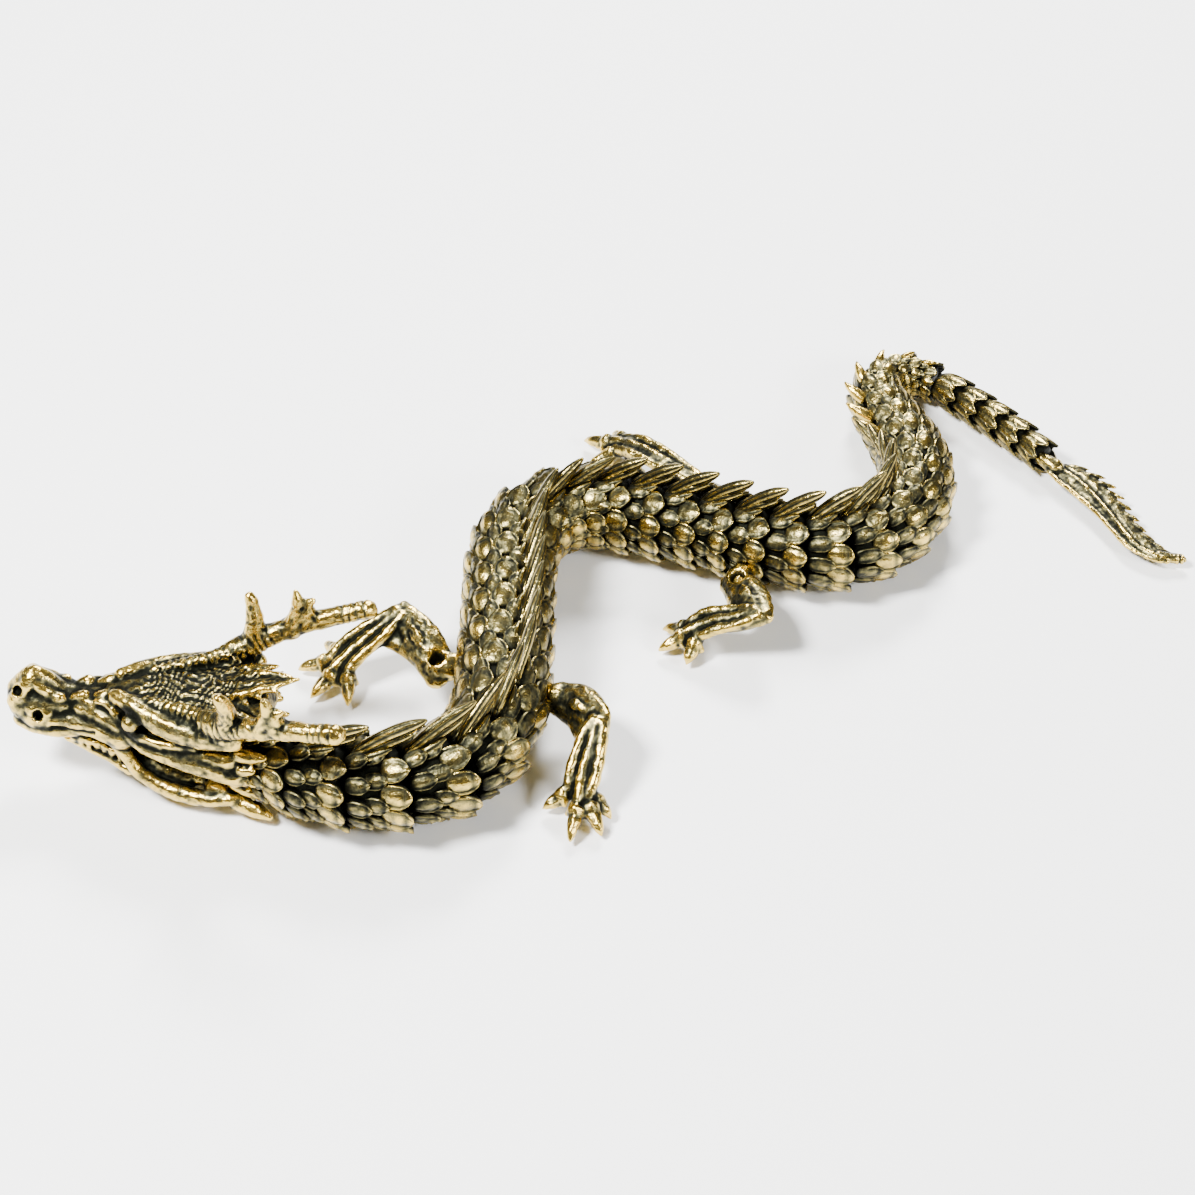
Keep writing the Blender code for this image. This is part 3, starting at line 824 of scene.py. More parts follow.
class ScaleKind(Enum):
    """Kinds of scale around a segment, from the crest down to the belly."""

    SHIELD = ScaleForm(
        ((0.0, 0.66, 0.40, 0.2), (0.08, 0.82, 0.80, 0.8), (0.22, 1.0, 0.86, 0.80), (0.42, 1.06, 0.90, 0.90),
         (0.62, 1.0, 0.94, 0.9), (0.78, 0.74, 0.76, 0.65), (0.90, 0.42, 1.02, 1.0), (1.0, 0.06, 0.90, 1.0)),
        ((1.0, 0.90, 1.0), (0.80, 0.58, 0.46), (0.46, 0.86, 0.76), (0.0, 0.96, 0.84)), 0.24)
    DOME = ScaleForm(
        ((0.0, 0.62, 0.40, 0.2), (0.08, 0.76, 0.70, 0.8), (0.22, 0.94, 0.90, 0.85), (0.40, 1.0, 1.0, 1.0),
         (0.60, 1.0, 0.98, 1.0), (0.77, 0.86, 0.74, 0.6), (0.90, 0.55, 1.0, 1.0), (1.0, 0.15, 0.88, 1.0)),
        ((1.0, 0.88, 1.0), (0.80, 0.56, 0.46), (0.50, 0.90, 0.88), (0.0, 1.0, 0.98)), 0.15)
    SMALL = ScaleForm(
        ((0.0, 0.60, 0.40, 0.2), (0.12, 0.84, 0.62, 0.5), (0.30, 0.98, 0.86, 0.7), (0.48, 1.0, 0.98, 0.8),
         (0.64, 0.98, 1.0, 0.85), (0.80, 0.74, 0.78, 0.5), (0.92, 0.42, 0.90, 0.95),
         (1.0, 0.12, 0.70, 0.95)),
        ((1.0, 0.66, 0.85), (0.78, 0.56, 0.38), (0.42, 0.84, 0.76), (0.0, 0.98, 0.88)), 0.22)
    LEAF = ScaleForm(
        ((0.0, 0.55, 0.40, 0.3), (0.10, 0.80, 0.70, 0.6), (0.26, 0.98, 0.92, 0.85), (0.44, 1.0, 1.0, 0.9),
         (0.62, 0.84, 0.98, 0.95), (0.78, 0.58, 0.90, 1.0), (0.91, 0.30, 0.74, 1.0), (1.0, 0.08, 0.50, 1.0)),
        ((1.0, 0.50, 0.95), (0.70, 0.26, 0.34), (0.36, 0.40, 0.60), (0.0, 1.0, 1.0)), 0.12)


@dataclass(frozen=True)
class ScaleSeat:
    """Where a scale sits on a segment: angle from the crest, root and tip as distance and radius."""

    angle: float
    root: tuple[float, float]
    tip: tuple[float, float]
    half_width: float
    height: float


# Parts of a crest leaf: points around the section, its height as a share of its width, depth of the flutes,
# then rows of the place along the leaf, the place sideways, the rise and the width, those two in thicknesses
CREST_LEAF = (16, 1.35, 0.20, (
    (0.12, 0.0, 0.02, 0.8), (0.28, 0.0, 0.24, 1.0), (0.50, 0.0, 0.50, 1.04), (0.72, 0.0, 0.71, 1.0),
    (0.88, 0.0, 0.85, 0.66), (0.96, 0.0, 0.93, 0.30)))
CREST_KEEL = (16, 1.1, 0.18, (
    (0.10, 0.0, -0.08, 1.2), (0.40, 0.0, 0.20, 1.25), (0.66, 0.0, 0.42, 0.9), (0.76, 0.0, 0.50, 0.5)))
CREST_BARB = (8, 1.1, 0.15, (
    (0.10, 1.2, -0.10, 0.6), (0.26, 1.7, 0.04, 0.8), (0.42, 1.6, 0.16, 0.7), (0.52, 1.4, 0.24, 0.3)))
# Thorn: the place along the segment, the rise, and the radius as a share of the segment's
THORN_ROWS = (
    (0.26, 0.0, 0.17), (0.50, 0.34, 0.19), (0.66, 0.62, 0.15), (0.76, 0.82, 0.10), (0.92, 0.94, 0.04))
# Share of a segment's pitch at which its ring of scales is widest, and where a stud stands
WIDEST = 0.64
# Below this crest height a ring has a scale in the crest's place
LEAST_CREST = 0.5


@dataclass
class ScaleRing:
    """One link of the body: a sleeve with a ring of small scales and a ring of large ones."""

    folds: int
    radius: float
    pitch: float
    crest: float
    next_seat: tuple[Matrix, float, float] | None = None
    large_kinds: tuple[ScaleKind, ...] = (ScaleKind.SHIELD, ScaleKind.DOME)
    small_kind: ScaleKind = ScaleKind.SMALL
    seed: int = 1
    large_width: float = 0.44
    large_root: float = 0.50
    tip_reach: float = 1.16
    small_width: float = 0.32
    # Small scales between two large ones: nudge towards the next one, root and reach
    small_spots: tuple[tuple[float, float, float], ...] = ((0.0, 0.0, 0.66),)
    root_radius: float = 0.74
    small_tip_radius: float = 0.88
    large_tip_radius: float = 0.93
    relief: float = 0.13
    small_relief: float = 0.8
    sleeve_width: float = 0.79
    # Crest and thorn: root and thickness as shares of the radius, reach as a share of the pitch
    crest_reach: float = 1.52
    crest_root: float = 0.76
    crest_thickness: float = 0.115
    thorn_root: float = 0.8
    thorn_below: float = 6.9
    thorn_tip: float = 0.45
    # How far scales follow the next segment where it bends off, and keep off it where it bends in
    tip_follow: float = 0.3
    tip_margin: float = 0.4
    flank_radius: float = 0.92
    edge_thickness: float = 0.45
    skin_margin: float = 0.03

    def tip_at(self, share: int, reach: float) -> float:
        """Limit a scale's reach where the next segment bends into its way, lengthen it where it bends off.

        Args:
            share: the scale's place around the ring, in half folds.
            reach: how far it would go on a straight body.
        Returns:
            How far it goes.
        """
        if self.next_seat is None:
            return reach
        seat, pitch, radius = self.next_seat
        angle = math.pi * share / self.folds
        middle = WIDEST * pitch
        low = self.flank_radius * radius
        flank = seat @ Vector((middle, low * math.sin(angle), low * math.cos(angle)))
        opening = max(0.0, flank.x - self.pitch - middle)
        return min(reach + self.tip_follow * opening, flank.x - self.tip_margin)

    def add_scale(self, surface: Shape, kind: ScaleKind, seat: ScaleSeat, hand: random.Random) -> None:
        """Shape a small grid into the face of one scale, and give it walls and an underside, painted in
        shade.

        Args:
            surface: the ring's shape, which the scale is added to.
            kind: its kind.
            seat: its place and size.
            hand: draws the small unevenness of its face.
        """
        form = kind.value
        shine = surface.verts.layers.float[SHINE]
        across = 2 * (len(form.columns) - 1)
        along = len(form.rows) - 1
        face = bmesh.ops.create_grid(surface, x_segments=across, y_segments=along, size=1.0)["verts"]
        around = dict.fromkeys(edge for vert in face for edge in vert.link_edges)
        border = [edge for edge in around if edge.is_boundary]
        grown = bmesh.ops.extrude_edge_only(surface, edges=border)["geom"]
        under = [item for item in grown if isinstance(item, bmesh.types.BMVert)]
        edges = [item for item in grown if isinstance(item, bmesh.types.BMEdge)]
        bmesh.ops.contextual_create(surface, geom=[edge for edge in edges if edge.is_boundary])
        for vert in face + under:
            column = round((vert.co.x + 1) / 2 * across)
            length, width, height, row_gleam = form.rows[round((vert.co.y + 1) / 2 * along)]
            aside, share, gleam = form.columns[min(column, across - column)]
            inner = 0 < column < across and 0.1 < length < 0.9
            mark = form.marks * hand.uniform(-1.0, 0.6) if inner else 0.0
            distance = seat.root[0] + length * (seat.tip[0] - seat.root[0])
            radius = seat.root[1] + length ** 0.8 * (seat.tip[1] - seat.root[1])
            # Walls and underside: pulled in by the edge's thickness and given no shine, as painted shade
            # under the scale
            if vert in grown:
                radius -= self.edge_thickness
                vert[shine] = 0.0
            else:
                radius += (share + mark) * height * seat.height
                radius = min(radius, self.radius - self.skin_margin)
                vert[shine] = gleam * row_gleam + 1.2 * mark
            angle = seat.angle + math.copysign(aside, column - across / 2) * width * seat.half_width / radius
            vert.co = Vector((distance, radius * math.sin(angle), radius * math.cos(angle)))

    def sleeve(self) -> Shape:
        """Make the sleeve that the scales stand on, painted near-black as the shade in the gaps between them.

        Returns:
            Its shape.
        """
        wide = self.sleeve_width * self.radius
        rows = [
            (share * self.pitch, 0.0, 0.0, part * wide, part * wide)
            for share, part in ((0.03, 0.4), (0.06, 0.88), (0.3, 1.0), (0.7, 1.0), (0.93, 0.9), (0.97, 0.4))
        ]
        surface = Workshop.sweep(rows, 20)
        shine = surface.verts.layers.float[SHINE]
        # Painted shade: near-black wherever the sleeve shows between the scales
        for vert in surface.verts:
            vert[shine] = 0.02
        return surface

    def thorn(self) -> list[Shape]:
        """Make the short hooked thorn that takes the leaf's place near the thin end.

        Returns:
            Its shape, in a list as the leaf's are.
        """
        low = self.thorn_root * self.radius
        rise = self.radius + self.crest - low - self.thorn_tip
        rows = [
            (share * self.pitch, 0.0, low + lift * rise, wide * self.radius)
            for share, lift, wide in THORN_ROWS]
        return [Workshop.bar(rows, 8, 2)]

    def crest_leaf(self) -> list[Shape]:
        """Make the fluted leaf of the back crest, with a shorter leaf on each side of it.

        Returns:
            Their shapes.
        """
        reach = self.crest_reach * self.pitch
        low = self.crest_root * self.radius
        rise = self.radius + self.crest - low
        thick = self.crest_thickness * self.radius
        leaves = []
        for side, part in ((1, CREST_LEAF), (1, CREST_KEEL), (-1, CREST_BARB), (1, CREST_BARB)):
            sides, flat, flute, rows = part
            full = [
                (share * reach, side * aside * thick, low + lift * rise, wide * thick)
                for share, aside, lift, wide in rows]
            leaves.append(Workshop.bar(full, sides, 2, flat, flute=flute))
        return leaves

    def shapes(self) -> list[Shape]:
        """Make the ring of scales, the sleeve and the crest.

        Returns:
            Every shape of the link.
        """
        surface = bmesh.new()
        surface.verts.layers.float.new(SHINE)
        spacing = 2 * math.pi * self.radius / self.folds
        hand = random.Random(self.seed)
        for share in range(2 * self.folds):
            angle = math.pi * share / self.folds + hand.uniform(-0.02, 0.02)
            from_crest = min(share, 2 * self.folds - share)
            wide = hand.uniform(0.94, 1.04)
            high = hand.uniform(0.92, 1.06)
            low = self.root_radius * self.radius
            if share % 2:
                for nudge, root, reach in self.small_spots:
                    self.add_scale(surface, self.small_kind, ScaleSeat(
                        angle + nudge * math.pi / self.folds, (root * self.pitch, low),
                        (self.tip_at(share, reach * self.pitch), self.small_tip_radius * self.radius),
                        self.small_width * spacing * wide,
                        self.small_relief * self.relief * self.radius * high), hand)
            elif share or self.crest < LEAST_CREST:
                kind = self.large_kinds[0] if from_crest <= 2 else self.large_kinds[-1]
                self.add_scale(surface, kind, ScaleSeat(
                    angle, (self.large_root * self.pitch, low),
                    (self.tip_at(share, self.tip_reach * self.pitch), self.large_tip_radius * self.radius),
                    self.large_width * spacing * wide, self.relief * self.radius * high), hand)
        bmesh.ops.recalc_face_normals(surface, faces=surface.faces)
        made = [surface, self.sleeve()]
        if self.crest >= LEAST_CREST:
            made += self.crest_leaf() if self.radius > self.thorn_below else self.thorn()
        return made


# What differs on the long segments of the neck, and on the links of the tail
NECK_RING = {
    "small_spots": ((-0.16, -0.06, 0.36), (0.16, 0.28, 0.68)), "large_root": 0.58, "tip_reach": 1.12,
    "large_width": 0.41, "small_width": 0.29,
}
LINK_RING = {
    "large_kinds": (ScaleKind.LEAF, ScaleKind.LEAF), "small_kind": ScaleKind.LEAF, "large_width": 0.48,
    "large_root": 0.02, "tip_reach": 1.12, "small_width": 0.48, "small_spots": ((0.0, -0.06, 0.86),),
    "root_radius": 0.56, "relief": 0.22, "sleeve_width": 0.68, "edge_thickness": 0.3,
}


@dataclass
class Body:
    """The row of body segments from the neck to the thin end."""

    chain: Chain
    folds: int = 11
    stud_radius: float = 1.2
    stud_hint: Vector = field(default_factory=lambda: Vector((1.0, 0.2, 0.1)))
    long_pitch: float = 8.3

    def make(self, dressing: Dressing, studs: dict[int, list[tuple[Vector, Vector]]]) -> None:
        """Make and place every segment.

        Args:
            dressing: places the castings.
            studs: for a segment's number, the start and end of each stud that a leg turns on.
        """
        for index, seat in enumerate(self.chain.frames):
            joint = self.chain.joints[index]
            after = None
            if index + 1 < len(self.chain.frames):
                follower = self.chain.joints[index + 1]
                after = (seat.inverted() @ self.chain.frames[index + 1], follower[3], follower[2])
            pitch = self.chain.pitch(index)
            changes = NECK_RING if pitch > self.long_pitch else {}
            shapes = ScaleRing(self.folds, joint[2], pitch, joint[5], after, seed=index, **changes).shapes()
            inverse = seat.inverted()
            for start, end in studs.get(index, []):
                spots = (start, start.lerp(end, 0.5), end)
                rows = [(*(inverse @ spot), self.stud_radius, self.stud_radius) for spot in spots]
                shapes.append(Workshop.sweep(rows, 16, self.stud_hint))
            name = f"body_segment_{index + 1:02d}"
            dressing.place(name + "_scales", Workshop.joined(shapes), [name], seat)


@dataclass
class TailLinks:
    """The five small links of pointed leaves between the body and the tail leaf."""

    count: int = 5
    folds: int = 6

    def make(self, dressing: Dressing) -> None:
        """Make and place the links.

        Args:
            dressing: places the castings.
        """
        chain = Chain(LINK_ROUTE)
        for index in range(self.count):
            joint = chain.joints[index]
            ring = ScaleRing(self.folds, joint[2], chain.pitch(index), 0.0, seed=index, **LINK_RING)
            name = f"tail_link_{index + 1}"
            dressing.place(name + "_leaves", Workshop.joined(ring.shapes()), [name], chain.frames[index])


@dataclass
class TailLeaf:
    """The long curved leaf that ends the tail: two veins, barbs that lie along it, a small ringed end."""

    voxel: float = 0.22
    tooth_pitch: float = 2.4
    blade_share: float = 0.74
    blade_thickness: float = 0.75
    clearance: float = 0.3
    drift: float = 0.60
    # Teeth stand only where the blade is at least this wide
    toothed_width: float = 1.2

    def make(self, dressing: Dressing) -> None:
        """Make and place the leaf.

        Args:
            dressing: places the casting.
        """
        fine = smooth_rows(LEAF_ROUTE, 4)
        blade = [
            row[:3] + (row[3] * self.blade_share, min(self.blade_thickness, row[2] - self.clearance))
            for row in fine[:-2]]
        shapes = [Workshop.sweep(blade, 14)]
        veins = []
        second = []
        rim = []
        travelled = 0.0
        for index, row in enumerate(fine[:-6]):
            before = fine[max(index - 1, 0)]
            after = fine[index + 1]
            along = Vector((after[0] - before[0], after[1] - before[1], 0)).normalized()
            side = Vector((-along.y, along.x, 0))
            spot = Vector(row[:3])
            # The veins start in the middle and run out to the inner edge
            drift = self.drift * index / len(fine)
            veins.append((spot + UP * 0.45 - side * row[3] * drift, 0.6))
            second.append((spot + UP * 0.35 + side * row[3] * (0.34 - drift), 0.5))
            rim.append((spot - side * row[3] * 0.76, 0.55))
            travelled += math.dist(before[:2], row[:2])
            if travelled >= self.tooth_pitch and row[3] > self.toothed_width:
                travelled = 0.0
                start = spot - along * 1.6 + side * row[3] * 0.1
                middle = spot + along * 0.6 + side * row[3] * 0.62
                tip = spot + along * 3.0 + side * row[3] * 0.99
                shapes.append(Workshop.rod(((start, 0.7), (middle, 0.9), (tip, 0.25)), 8, 2, 0.75))
        shapes += [Workshop.rod(line, 8, 1, 0.9) for line in (veins, second, rim)]
        # Root that reaches into the last link
        root = Vector(LEAF_ROUTE[0][:3])
        shapes.append(Workshop.rod((
            (root + Vector((-2.4, 2.2, 1.0)), 1.2), (root + Vector((0.8, -0.6, 0.3)), 1.7))))
        end = [row[:3] + (min(row[3], 1.0),) for row in LEAF_ROUTE[-3:-1]]
        end.append((LEAF_ROUTE[-1][0] - 1.2,) + LEAF_ROUTE[-1][1:3] + (0.9,))
        shapes.append(Workshop.bar(end, 10, 3))
        mesh = Workshop.cast(shapes, self.voxel)
        chisel = Chisel(mesh)
        chisel.smooth(1)
        chisel.roughen(1.4, 0.22, 9)
        chisel.roughen(0.7, 0.12, 10)
        chisel.ribs(LEAF_ROUTE[-2:], 1.1, 0.22, 0.5)
        chisel.keep(chisel.shine(4, 26, 0.50))
        dressing.place("tail_leaf_casting", mesh, ["tail_leaf"])


@dataclass
class Leg:
    """One leg: cup, thigh, pointed knee, shin with its tendons, toes with banded knuckles and claws."""

    name: str
    shoulder: Row
    knee: Row
    wrist: Row
    claws: tuple[Row, ...]
    open_top: bool = True
    cup_radius: float = 2.7
    stud_radius: float = 1.2
    socket_depth: float = 1.6
    top_hole_radius: float = 1.4
    top_hole_depth: float = 2.8
    voxel: float = 0.27
    cup: Vector = field(init=False)
    outward: Vector = field(init=False)

    def mount(self, chain: Chain) -> tuple[int, Vector, Vector]:
        """Find the leg's place on the body.

        Args:
            chain: the body's joints.
        Returns:
            The segment's number, and the start and end of its stud.
        """
        index = chain.nearest(self.shoulder)
        middle = chain.frames[index] @ Vector((chain.joints[index][3] * WIDEST, 0, 0))
        outward = Vector(self.shoulder) - middle
        along = chain.frames[index].to_3x3() @ Vector((1.0, 0.0, 0.0))
        self.outward = (outward - along * outward.dot(along)).normalized()
        self.cup = middle + self.outward * (chain.joints[index][2] + GAP + self.cup_radius)
        return index, middle, self.cup + self.outward * (0.6 - GAP)

    def toe_shapes(self, wrist: Vector, tip: Vector) -> list[Shape]:
        """Make one toe.

        Args:
            wrist: where it starts.
            tip: the point of its claw.
        Returns:
            The toe, its knuckle bands and its claw.
        """
        reach = tip - wrist
        start = wrist - reach.normalized() * 0.6
        knuckle = wrist + reach * 0.5
        knuckle.z = 2.9
        root = wrist + reach * 0.64
        root.z = 2.1
        middle = wrist + reach * 0.84
        middle.z = 1.5
        side = reach.cross(UP).normalized()
        return [
            Workshop.rod(((start, 1.5), (wrist + reach * 0.25, 1.35), (knuckle, 1.6))),
            # Band over the knuckle
            Workshop.rod(((knuckle + side * 1.5 - UP * 0.9, 0.6), (knuckle + UP * 1.35, 0.75),
                          (knuckle - side * 1.5 - UP * 0.9, 0.6)), 8),
            Workshop.bar(((*root, 1.5), (*middle, 1.1), (tip.x, tip.y, 0.6, 0.3)), 6, 3),
        ]

    def shapes(self) -> list[Shape]:
        """Make thigh, shin, tendons and toes.

        Returns:
            Every shape of the leg.
        """
        knee = Vector(self.knee)
        wrist = Vector(self.wrist)
        cup = self.cup
        upper = (knee - cup).normalized()
        lower = (wrist - knee).normalized()
        flat = upper.cross(lower).normalized()
        outer = (knee - (cup + wrist) / 2).normalized()
        point = knee + outer * 1.5
        made = [
            Workshop.rod(((cup, 3.2), (cup.lerp(knee, 0.32), 3.9), (cup.lerp(knee, 0.7), 3.5), (knee, 2.4)),
                         hint=flat, flat=0.64),
            Workshop.rod(((knee, 2.3), (knee.lerp(wrist, 0.3), 2.8), (knee.lerp(wrist, 0.7), 2.4),
                          (wrist, 2.0)), hint=flat, flat=0.66),
            # Ridge from the cup over the thigh to the point of the knee
            Workshop.rod(((cup + outer * 1.6, 1.1), (cup.lerp(knee, 0.5) + outer * 2.6, 1.1),
                          (knee + outer * 0.9, 1.4), (point, 1.0))),
            # Rim along the inner side of the thigh, and the web behind the knee
            Workshop.rod(((cup - outer * 2.2, 0.8), (cup.lerp(knee, 0.45) - outer * 3.0, 0.8),
                          (knee.lerp(wrist, 0.35) - outer * 2.3, 0.9))),
            Workshop.rod(((cup - outer * 1.9, 2.4), (cup.lerp(knee, 0.55) - outer * 2.5, 2.5),
                          (knee.lerp(wrist, 0.32) - outer * 1.6, 1.9)), hint=flat, flat=0.62),
            Workshop.rod(((cup - self.outward * (self.cup_radius - 0.5), self.cup_radius),
                          (cup + self.outward * 0.4, self.cup_radius)), 16, 1),
        ]
        if not self.open_top:
            # Broad haunch against the body
            haunch = cup - self.outward * 1.6 - outer * 0.4
            made.append(Workshop.rod(((haunch, 3.3), (cup.lerp(knee, 0.3), 3.9)), hint=flat, flat=0.6))
        middle = cup.lerp(knee, 0.52)
        for side in (-1, 1):
            # Lozenge on each flat of the thigh
            made.append(Workshop.rod((
                (middle - upper * 2.6 + flat * side * 1.9, 0.4), (middle + flat * side * 2.1, 1.5),
                (middle + upper * 2.8 + flat * side * 1.7, 0.4)), 4, 2))
        # Tendons from the knee down to the three front toes
        toes = [Vector(claw) for claw in self.claws[:3]]
        spread = (toes[-1] - toes[0]).normalized()
        view = spread.cross(lower).normalized()
        if view.z < 0:
            view = -view
        for number, tip in enumerate(toes):
            aside = spread * (number - 1)
            made.append(Workshop.rod((
                (knee + lower * 0.6 + aside * 0.9 + view * 1.0, 1.2),
                (knee.lerp(wrist, 0.4) + aside * 2.1 + view * 1.2, 1.05),
                (knee.lerp(wrist, 0.85) + aside * 2.5 + view * 1.1, 1.05),
                (wrist + (tip - wrist) * 0.34 + UP * 0.9, 1.15)), 10))
        for claw in self.claws:
            made += self.toe_shapes(wrist, Vector(claw))
        return made

    def make(self, dressing: Dressing) -> None:
        """Make and place the leg.

        Args:
            dressing: places the casting.
        """
        mesh = Workshop.cast(self.shapes(), self.voxel)
        chisel = Chisel(mesh)
        chisel.smooth(3)
        knee = Vector(self.knee)
        chisel.hair(tuple(self.cup.lerp(knee, 0.5)), (6.0, 6.0, 6.0), tuple(knee - self.cup), 1.7, 0.07)
        chisel.roughen(1.6, 0.30, 7)
        chisel.roughen(0.7, 0.12, 8)
        below = self.cup - self.outward * 6.0
        hole = chisel.drill(below, self.outward, self.stud_radius + GAP, self.socket_depth)
        if self.open_top:
            above = self.cup + self.outward * 0.4 + UP * 8.0
            hole = np.maximum(hole, chisel.drill(above, -UP, self.top_hole_radius, self.top_hole_depth))
        chisel.points[:, 2] = np.maximum(chisel.points[:, 2], 0.1)
        chisel.refresh()
        # Painted shade: the socket and the top hole are darkened to black inside
        chisel.keep(chisel.shine(4, 30, 0.46) * (1 - hole))
        dressing.place(self.name + "_casting", mesh, [self.name])


